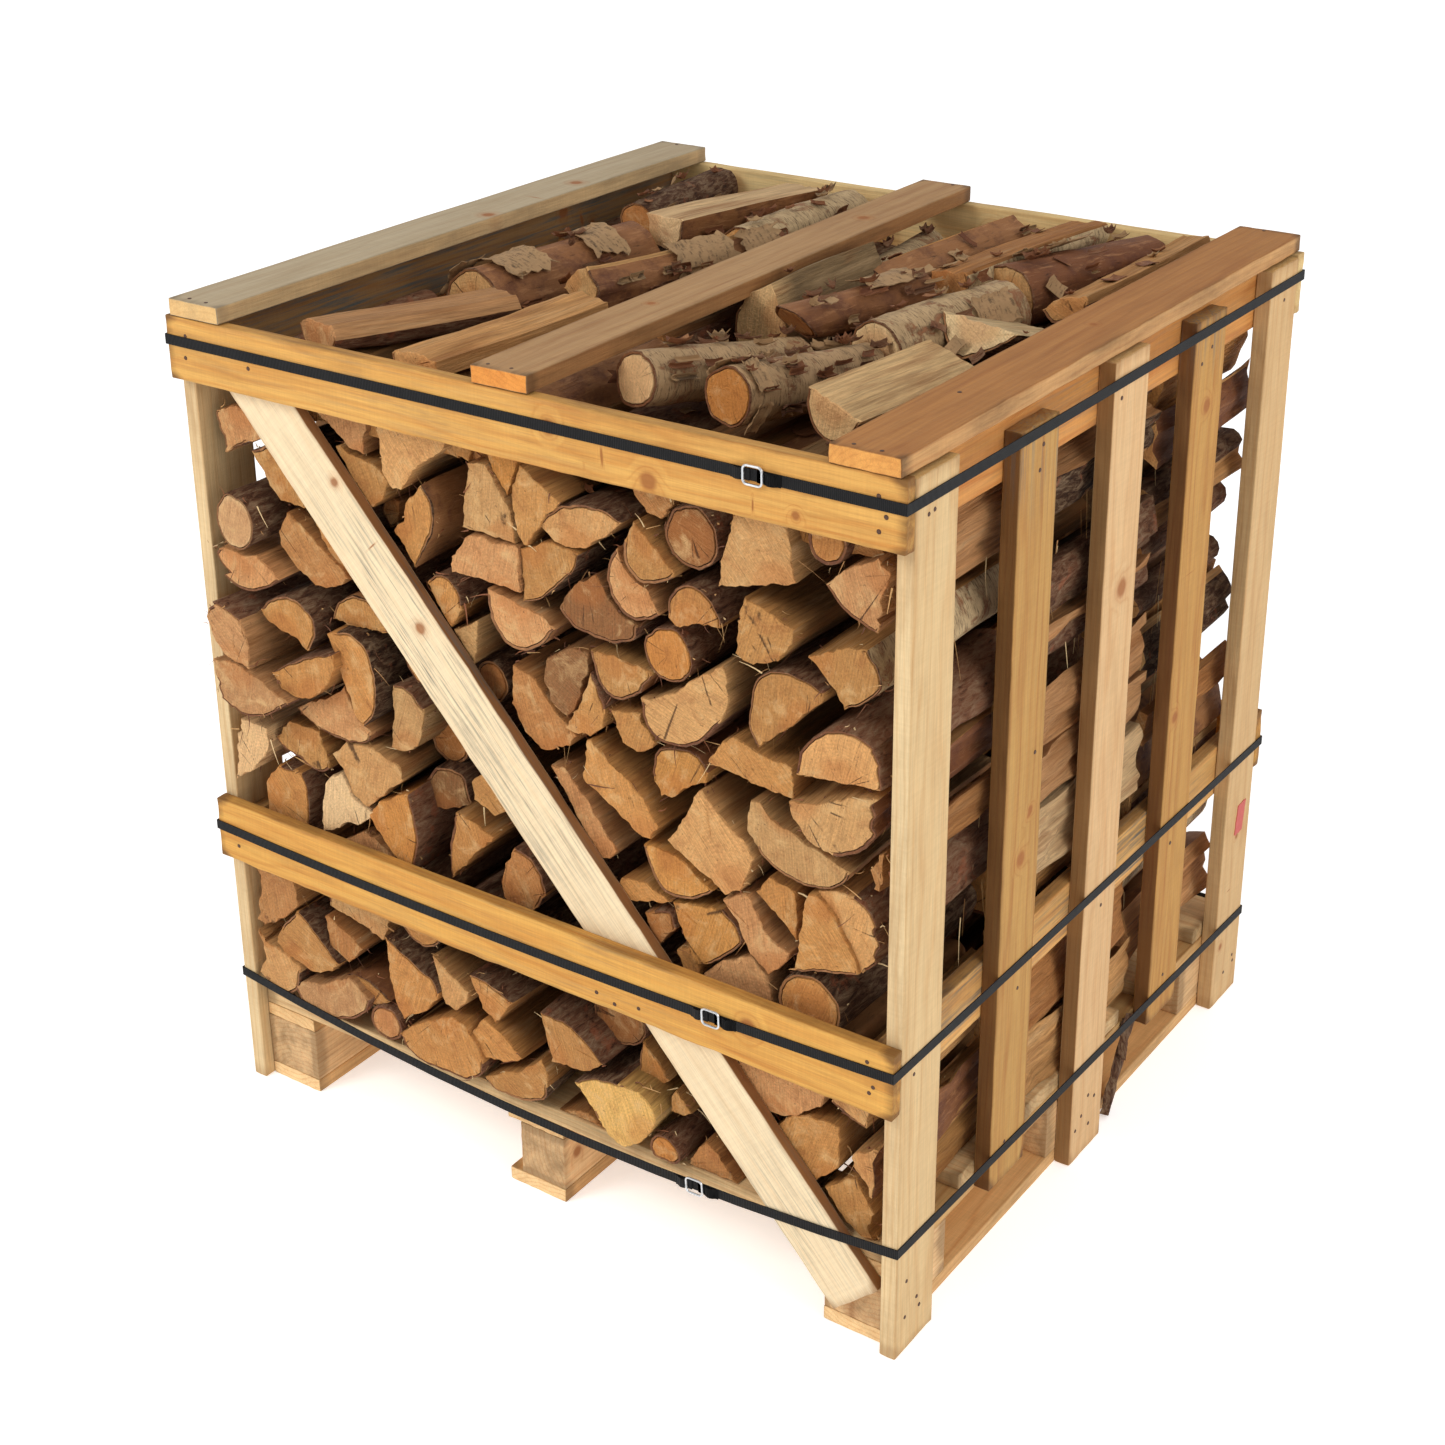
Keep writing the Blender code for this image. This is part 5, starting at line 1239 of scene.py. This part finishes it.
def finishRow(row, name):
    look = rowLooks[name]
    for number, (out, tone, barkAt, barkKind, corners) in enumerate(topLogs[name]):
        makeLog(row, corners, barkAt, nearEnd(out, look), look["far"], tone, barkKind, number + look["firstTop"])
    for number, resting in enumerate(restingLogs):
        if resting["row"] == name:
            place, half = layMatrix(resting, resting["level"])
            dressLog(row, resting, place, half, look["firstResting"] + number)
    finishPiece("firewood_" + name + "_logs", row, logSurfaces(), ["firewood_" + name + "_row"])
    print(name, "row done")


def makeRows():
    plan = frontPlan()
    uneven, pitch = rowLooks["uneven"], rowLooks["hiddenPitch"]
    lengths = random.Random(77)
    row, layers = openShape()
    look = rowLooks["front"]
    for number, (out, tone, barkAt, barkKind, corners) in enumerate(plan):
        out = min(out, furthestOut(corners, 1))
        corners = [keepInside(*towardsEye(x, z, out)) for x, z in corners]
        makeLog(row, corners, barkAt, nearEnd(out, look), look["far"] - lengths.uniform(0.0, uneven), tone,
                barkKind, number + look["firstLog"], pitch=rowLooks["frontPitch"])
    finishRow(row, "front")

    row, layers = openShape()
    look = rowLooks["middle"]
    for number, (out, tone, barkAt, barkKind, corners) in enumerate(plan):
        corners = [keepInside(-x, z) for x, z in corners]
        turned = 180 - barkAt if isinstance(barkAt, (int, float)) else barkAt
        makeLog(row, corners, turned, look["near"] + lengths.uniform(0.0, uneven),
                look["far"] - lengths.uniform(0.0, uneven), tone, barkKind, number + look["firstLog"],
                pitch=pitch, rings=10)
    finishRow(row, "middle")

    row, layers = openShape()
    look = rowLooks["back"]
    for number, (out, tone, barkAt, barkKind, corners) in enumerate(plan):
        corners = [keepInside(x, 1120 - z) for x, z in corners]
        if min(z for x, z in corners) < 135 or max(x for x, z in corners) - min(x for x, z in corners) < 20:
            continue
        turned = -barkAt if isinstance(barkAt, (int, float)) else barkAt
        out = min(out / 3 - 10, furthestOut(corners, -1))
        makeLog(row, corners, turned, nearEnd(out, look), look["far"] + lengths.uniform(0.0, uneven), tone,
                barkKind, number + look["firstLog"], pitch=pitch, rings=7)
    for number, (x, z, half) in enumerate(backRounds):
        luck = random.Random(x * 1000 + z)
        around = roundCorners(half, half * luck.uniform(0.8, 1.0), number, sides=12)
        corners = [keepInside(x + aside, z + above) for aside, above in around]
        out = min(-8 - 9 * (number % 4), furthestOut(corners, -1))
        makeLog(row, corners, "round", nearEnd(out, look), look["far"],
                luck.choice(("tan", "pale", "pink", "brown", "orange")),
                luck.choice(("dark", "dark", "inner", "birch")), number + look["firstRound"], pitch=pitch,
                rings=7)
    finishRow(row, "back")


# Logs that lie loose on top: ends of the middle line, dip, wood tone, bark, corners or half sizes, and
# torn sheets of bark as turns in degrees from the right and reach along the log in metres
looseLogs = {
    "log_birch_left": {"front": (-330, -135), "back": (-304, 160), "dip": 0, "tone": "pale", "bark": "round",
                       "barkKind": "inner", "round": (51, 48), "flakes": 14,
                       "sheets": ((42, 128, -0.125, -0.045), (35, 120, 0.035, 0.10), (112, 178, -0.155, -0.110),
                                  (150, 200, -0.152, -0.120))},
    "log_birch_front": {"front": (74, -345), "back": (128, -100), "dip": 9, "tone": "cream", "bark": "round",
                        "barkKind": "birch", "round": (35.5, 33.5), "flakes": 26, "sheets": ()},
    "log_birch_flaky": {"front": (189, -335), "back": (221, -105), "dip": 7, "tone": "orange", "bark": "round",
                        "barkKind": "birch", "round": (36.5, 34.5), "flakes": 60,
                        "sheets": ((20, 75, -0.115, -0.09), (95, 160, -0.118, -0.08), (-60, 0, -0.117, -0.095))},
    "log_half_right": {"front": (324, -340), "back": (343, -120), "dip": 1, "tone": "honey", "bark": -100,
                       "barkKind": "dark",
                       "corners": ((-33, 30), (38, 5), (28, -18), (0, -30), (-24, -20), (-35, 4))},
    "log_slab_left": {"front": (-302, -440), "back": (-226, -205), "dip": 2, "tone": "pink", "bark": -90,
                      "barkKind": "dark",
                      "corners": ((-44, 10), (-20, 20), (30, 22), (46, 8), (30, -14), (-34, -12))},
    "log_slab_front": {"front": (-146, -452), "back": (-128, -168), "dip": 0, "tone": "pale", "bark": 170,
                       "barkKind": "birch",
                       "corners": ((-36, 12), (-6, 20), (34, 14), (36, -6), (8, -14), (-32, -8))},
    "log_split_back": {"front": (-268, 184), "back": (-205, 430), "dip": 0, "tone": "white", "bark": -20,
                       "barkKind": "inner", "corners": ((-40, 26), (39, 30), (31, -5), (4, -19), (-30, -12)),
                       "flakes": 22},
}


def dressLog(row, look, place, half, seed):
    step = crate["step"]
    corners = look.get("corners") or roundCorners(*look["round"], seed)
    makeLog(row, corners, look["bark"], -half, half, look["tone"], look["barkKind"], seed, pitch=0.0055, rings=16,
            place=place, taper=look.get("taper", 1.0), slant=look.get("slant", 0.0))
    if "round" in look:
        radius = sum(look["round"]) / 2 * step + 0.0006
    else:
        radius = max(math.hypot(x, z) for x, z in corners) * step * 0.86
    for number, (low, high, start, end) in enumerate(look.get("sheets", ())):
        addSheet(row, place, radius, (math.radians(low), math.radians(high)), (start, end), 0.0045,
                 seed * 10 + number, "birch", cells=(12, 9))
    kinds = ("inner", "birch", "dark") if look["barkKind"] == "birch" else ("inner", "dark", "inner", "birch")
    low, high = (-30, 190) if "round" in look else (-50, 20)
    scatterFlakes(row, place, half, radius, (math.radians(low), math.radians(high)), look.get("flakes", 0),
                  seed * 100, kinds)


def makeLooseLogs():
    for number, (name, look) in enumerate(looseLogs.items()):
        low, high = (Vector(corner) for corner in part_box(name))
        place, half = layMatrix(look, 0.0)
        place.translation.z = (low.z + high.z) / 2
        if "corners" in look:
            place.translation.z = low.z - min(z for x, z in look["corners"]) * crate["step"]
        row, layers = openShape()
        dressLog(row, look, place, half, number + 1301)
        finishPiece(name + "_wood", row, logSurfaces(), [name])
    print("loose logs done")


# Splinters and torn fibres: thin slivers on the edges of the log ends and in the gaps of the right side
splinters = {
    "onFront": 1400,
    "inSide": 90,
    "shortest": 0.004,
    "longest": 0.034,
    "colours": ("c99b62", "b88752", "dcbe8c", "8c5432", "6a3e26", "7a4a2c"),
}


def addSliver(row, start, heading, length, thick, droop, colour):
    shape, layers = openShape()
    bmesh.ops.create_cone(shape, cap_ends=True, segments=3, radius1=thick, radius2=thick * 0.25, depth=length)
    long = [edge for edge in shape.edges if abs(edge.verts[0].co.z - edge.verts[1].co.z) > length / 2]
    bmesh.ops.subdivide_edges(shape, edges=long, cuts=2, use_grid_fill=True)
    turn = heading.to_track_quat("Z", "Y").to_matrix().to_4x4()
    bmesh.ops.translate(shape, vec=(0.0, 0.0, length / 2), verts=shape.verts)
    for vert in shape.verts:
        share = vert.co.z / length
        vert.co = turn @ vert.co + droop * share * share * length + start
        vert[layers["grain"]] = vert.co
        vert[layers["tint"]] = paint(colour)
    mergeInto(row, shape)


def makeSplinters():
    luck = random.Random(41)
    step = crate["step"]
    row, layers = openShape()
    plan = [entry for entry in frontPlan() if entry[0] > -20]
    for number in range(splinters["onFront"]):
        out, tone, barkAt, barkKind, corners = luck.choice(plan)
        out = min(out, furthestOut(corners, 1))
        corners = [keepInside(*towardsEye(x, z, out)) for x, z in corners]
        spot = luck.randrange(len(corners))
        share = luck.random()
        first, second = Vector(corners[spot]), Vector(corners[(spot + 1) % len(corners)])
        edge = first.lerp(second, share) * step
        start = Vector((edge.x, (crate["outlinePlane"] - out) * step + luck.uniform(-0.001, 0.022), edge.y))
        turn = luck.uniform(0, 2 * math.pi)
        heading = Vector((math.cos(turn), luck.uniform(-0.5, 0.15), math.sin(turn))).normalized()
        length = luck.uniform(splinters["shortest"], splinters["longest"]) * luck.uniform(0.35, 1.0)
        addSliver(row, start, heading, length, 0.0003 + 0.0011 * luck.random() ** 2,
                  Vector((luck.uniform(-0.5, 0.5), luck.uniform(-0.2, 0.2), luck.uniform(-0.6, 0.3))),
                  luck.choice(splinters["colours"]))
    for number in range(splinters["inSide"]):
        start = Vector((luck.uniform(0.462, 0.482), luck.uniform(-0.40, 0.40), luck.uniform(0.25, 0.98)))
        heading = Vector((luck.uniform(-0.05, 0.15), luck.uniform(-0.35, 0.35), -1.0)).normalized()
        addSliver(row, start, heading, luck.uniform(0.015, 0.095), luck.uniform(0.0005, 0.0010),
                  Vector((0.0, luck.uniform(-0.3, 0.3), -0.1)), luck.choice(splinters["colours"][:3]))
    finishPiece("splinters", row, [surfaces["splinter"]], [])
    print("splinters done")


# Loose bark crumbs and curls that lie between the logs on top
crumbs = {"count": 150, "smallest": 0.005, "largest": 0.020, "tightest": 0.010, "widest": 0.026}


def makeCrumbs():
    luck = random.Random(59)
    bpy.context.view_layer.update()
    places, faces = [], []
    for piece in bpy.data.objects:
        if piece.name.startswith("firewood_") and piece.name.endswith("_logs"):
            start = len(places)
            places += [vert.co.copy() for vert in piece.data.vertices]
            faces += [tuple(start + vert for vert in face.vertices) for face in piece.data.polygons
                      if face.center.z > 0.98]
    ground = BVHTree.FromPolygons(places, faces)
    row, layers = openShape()
    for number in range(crumbs["count"]):
        x = luck.choice((luck.uniform(-0.42, -0.06), luck.uniform(0.05, 0.42)))
        above = Vector((x, luck.uniform(-0.44, 0.45), 1.3))
        hit, normal, face, distance = ground.ray_cast(above, Vector((0, 0, -1)))
        if hit is None:
            continue
        turn = Matrix.Rotation(luck.uniform(0, 6.28), 4, "Z")
        lean = normal.to_track_quat("Z", "Y").to_matrix().to_4x4() if normal.z > 0.3 else Matrix()
        bend = luck.uniform(crumbs["tightest"], crumbs["widest"])
        place = Matrix.Translation(hit + Vector((0, 0, 0.0012 - bend))) @ lean @ turn
        wide = luck.uniform(crumbs["smallest"], crumbs["largest"]) / bend
        long = luck.uniform(crumbs["smallest"], crumbs["largest"]) * 1.4
        middle = math.pi / 2
        addSheet(row, place, bend, (middle - wide / 2, middle + wide / 2), (-long / 2, long / 2),
                 luck.uniform(0.001, 0.004), number + 7000, luck.choice(("inner", "inner", "dark", "birch")),
                 cells=(3, 3), thick=flakes["thick"])
    finishPiece("bark_crumbs", row, logSurfaces(), [])
    print("bark crumbs done")


# Strips of bark that hang out of the right side, low down: top, foot and half width
hangingBark = (
    ((0.5120, 0.1670, 0.1180), (0.5190, 0.0800, 0.0080), 0.0200),
    ((0.5100, 0.1560, 0.1150), (0.5200, 0.1220, 0.0740), 0.0170),
)


def makeHangingBark():
    row, layers = openShape()
    for number, (top, foot, half) in enumerate(hangingBark):
        shape, own = openShape()
        bmesh.ops.create_grid(shape, x_segments=7, y_segments=22, size=1.0)
        for vert in shape.verts:
            across, down = vert.co.x, (1 - vert.co.y) / 2
            spot = Vector(top).lerp(Vector(foot), down)
            ragged = noiseAt(down * 7, number * 5.0, 3.0)
            wide = half * (1.0 - 0.35 * down + 0.35 * ragged)
            curl = 0.006 * (1.0 - across ** 2) * (0.4 + down) + 0.002 * noiseAt(across * 2, down * 9, 1.0)
            vert.co = (spot.x + curl, spot.y + 0.85 * across * wide, spot.z - 0.5 * across * wide)
            vert.co.x -= 0.006
        bmesh.ops.solidify(shape, geom=shape.faces[:], thickness=0.0016)
        for vert in shape.verts:
            vert[own["grain"]] = (vert.co.x, vert.co.z + number, vert.co.y)
            vert[own["tint"]] = paint("7a4a2c")
            vert[own["luck"]] = 0.3
        for face in shape.faces:
            face.material_index = barkSlots["dark"]
        mergeInto(row, shape)
    finishPiece("hanging_bark", row, logSurfaces(), [])
    print("hanging bark done")


# Nail heads, and where they are, in metres: on the front rails (x, z), on the sides (y, z), on top (x, y)
nails = {
    "radius": 0.0029,
    "high": 0.0009,
    "proud": 0.0002,
    "topLevel": 1.1372,
    "front": ((-0.4922, 1.092), (-0.4955, 1.0638), (-0.3887, 1.0691), (0.5010, 1.0711), (0.4927, 1.0538),
              (0.4919, 1.0919), (0.4988, 0.3875), (0.4938, 0.3782), (0.4905, 0.4182), (-0.4940, 0.4100),
              (-0.4900, 0.3850), (0.110, 0.3720), (0.137, 0.3650), (0.173, 0.3720)),
    "side": ((-0.466, 1.0655), (-0.454, 1.0671), (-0.4646, 0.3895), (-0.4436, 0.0631), (-0.437, 0.0466),
             (-0.4707, 0.0508), (-0.4686, 0.1023), (-0.2179, 1.0660), (-0.2243, 1.0378), (-0.0258, 1.0643),
             (0.1979, 1.0449), (0.2250, 1.0600), (0.4504, 1.0640), (0.0019, 0.0873), (0.0208, 0.0762),
             (-0.0158, 0.0645), (-0.0316, 0.0500), (0.0075, 0.0393), (0.4760, 0.0488), (0.4726, 0.0600),
             (0.4445, 0.0443), (-0.2028, 0.6836), (0.2116, 0.3700), (-0.2190, 0.3720), (0.0040, 0.3770),
             (-0.2350, 0.1580), (0.2200, 0.1590)),
    "top": ((-0.4900, -0.499), (-0.4600, -0.501), (-0.0200, -0.500), (0.0120, -0.498), (0.4560, -0.500),
            (0.4900, -0.502), (-0.4800, 0.498), (0.0010, 0.500), (0.4700, 0.499), (0.4640, -0.300)),
}


def makeNails():
    row, layers = openShape()
    front, side = crate["deep"] / 2 + nails["proud"], crate["wide"] / 2 + nails["proud"]
    spots = []
    for sign in (-1, 1):
        spots += [((-sign * x, sign * front, z), (0, sign, 0)) for x, z in nails["front"]]
        spots += [((sign * side, y, z), (sign, 0, 0)) for y, z in nails["side"]]
    spots += [((x, y, nails["topLevel"]), (0, 0, 1)) for x, y in nails["top"]]
    for spot, heading in spots:
        shape, own = openShape()
        place = Matrix.Translation(spot) @ Vector(heading).to_track_quat("Z", "Y").to_matrix().to_4x4()
        bmesh.ops.create_cone(shape, cap_ends=True, segments=10, radius1=nails["radius"],
                              radius2=nails["radius"] * 0.75, depth=nails["high"])
        bmesh.ops.transform(shape, matrix=place, verts=shape.verts)
        mergeInto(row, shape)
    finishPiece("nails", row, [surfaces["nail"]], [])
    print("nails done")


# Buckle wires, and the short folded ends of each strap that come out beside them
buckles = {"wire": 0.0015, "wide": 0.024, "high": 0.021, "bend": 0.005, "offFace": 0.0021, "bendSteps": 4}
strapTails = {"long": 0.030, "wide": 0.0132, "thick": 0.0008, "offFace": 0.0006, "start": 0.0045}

# Face, height, place across and slope of each strap at its buckle
strapBands = {
    "top": (crate["deep"] / 2, 1.084, 0.342, 0.0),
    "middle": (crate["deep"] / 2, 0.3995, 0.280, 0.025),
    "deck": (crate["railBack"], 0.1325, 0.240, 0.0475),
}


def addWire(shape, points, radius):
    rings = []
    for number, point in enumerate(points):
        before, after = points[max(number - 1, 0)], points[min(number + 1, len(points) - 1)]
        turn = (after - before).normalized().to_track_quat("Z", "Y").to_matrix().to_4x4()
        made = bmesh.ops.create_circle(shape, cap_ends=number in (0, len(points) - 1), segments=8, radius=radius,
                                       matrix=Matrix.Translation(point) @ turn)
        rings.append(list({edge for vert in made["verts"] for edge in vert.link_edges}))
    for first, second in zip(rings, rings[1:]):
        bmesh.ops.bridge_loops(shape, edges=first + second)


def makeBuckles():
    halfWide, halfHigh = buckles["wide"] / 2 - 0.005, buckles["high"] / 2 - 0.005
    steps = buckles["bendSteps"]
    for name, (face, level, x, slope) in strapBands.items():
        lean = Matrix.Rotation(-slope, 4, "Y")
        points = []
        for cornerX, cornerZ, start in ((halfWide, halfHigh, 0), (-halfWide, halfHigh, 90),
                                        (-halfWide, -halfHigh, 180), (halfWide, -halfHigh, 270)):
            for number in range(steps + 1):
                turn = math.radians(start + 90 * number / steps)
                points.append(Vector((cornerX + buckles["bend"] * math.cos(turn), 0.0,
                                      cornerZ + buckles["bend"] * math.sin(turn))))
        points += [points[0], points[1]]
        shape = bmesh.new()
        addWire(shape, points, buckles["wire"])
        y = -face - buckles["offFace"] - buckles["wire"]
        bmesh.ops.transform(shape, matrix=Matrix.Translation((x, y, level)) @ lean, verts=shape.verts)
        finishPiece("buckle_" + name + "_wire", shape, [surfaces["wire"]], ["buckle_" + name])
        shape = bmesh.new()
        for side, long, lift in ((-1, strapTails["long"] * 0.8, 0.0030), (1, strapTails["long"], 0.0036)):
            for vert in bmesh.ops.create_grid(shape, x_segments=8, y_segments=2, size=0.5)["verts"]:
                along = vert.co.x + 0.5
                rise = max(0.0, along - 0.30) / 0.70
                height = 0.0013 + lift * math.sin(math.pi * min(1.0, rise * 1.2))
                vert.co = (side * (strapTails["start"] + long * along), -height, vert.co.y * strapTails["wide"])
        bmesh.ops.solidify(shape, geom=shape.faces[:], thickness=strapTails["thick"])
        place = Matrix.Translation((x, -face - strapTails["offFace"], level)) @ lean
        bmesh.ops.transform(shape, matrix=place, verts=shape.verts)
        finishPiece("strap_" + name + "_tails", shape, [surfaces["strap"]], [])
    print("buckles done")


# A plain daub on the back upright of the right side, ragged at its edges
redMark = {"y": 0.4560, "z": 0.2975, "wide": 0.026, "high": 0.047, "slope": 0.006, "ragged": 0.0022,
           "thick": 0.0010, "proud": 0.0003}


def makeRedMark():
    shape = bmesh.new()
    bmesh.ops.create_cube(shape, size=1.0)
    cutAcross(shape, Vector((0, 1, 0)), 1.0, 0.125)
    cutAcross(shape, Vector((0, 0, 1)), 1.0, 0.08)
    for vert in shape.verts:
        u, v = vert.co.y, vert.co.z
        y = redMark["y"] + u * redMark["wide"] + v * redMark["slope"]
        y += noiseAt(u * 6, v * 6, 2.0) * redMark["ragged"]
        z = redMark["z"] + v * redMark["high"] + noiseAt(u * 7, v * 7, 8.0) * redMark["ragged"]
        vert.co = (crate["wide"] / 2 + redMark["proud"] + vert.co.x * redMark["thick"], y, z)
    finishPiece("red_mark", shape, [makeCloudedMaterial("red_marking_paint")], [])
    print("red mark done")


makeCamera()
makeStudio()
surfaces = {name: makeBoardMaterial(name, look) for name, look in boardLooks.items()}
surfaces["sawCut"] = makeEndMaterial()
surfaces["splitFace"] = makeSplitMaterial()
surfaces["darkBark"] = makeDarkBarkMaterial()
surfaces["birchBark"] = makeBirchBarkMaterial()
surfaces["innerBark"] = makeInnerBarkMaterial()
surfaces["strap"] = makeStrapMaterial()
surfaces["wire"] = makeCloudedMaterial("galvanised_wire")
surfaces["splinter"] = makeSplinterMaterial()
surfaces["nail"] = makeCloudedMaterial("rusty_nail_steel")
print("materials done")
makeStraightBoards()
makeCrossBoards()
print("boards done")
makeRows()
makeLooseLogs()
makeCrumbs()
makeHangingBark()
makeSplinters()
makeNails()
makeBuckles()
makeRedMark()
for nodeName, nodeObject in frame["nodes"].items():
    if nodeName.startswith("strap_"):
        nodeObject.data.materials[0] = surfaces["strap"]
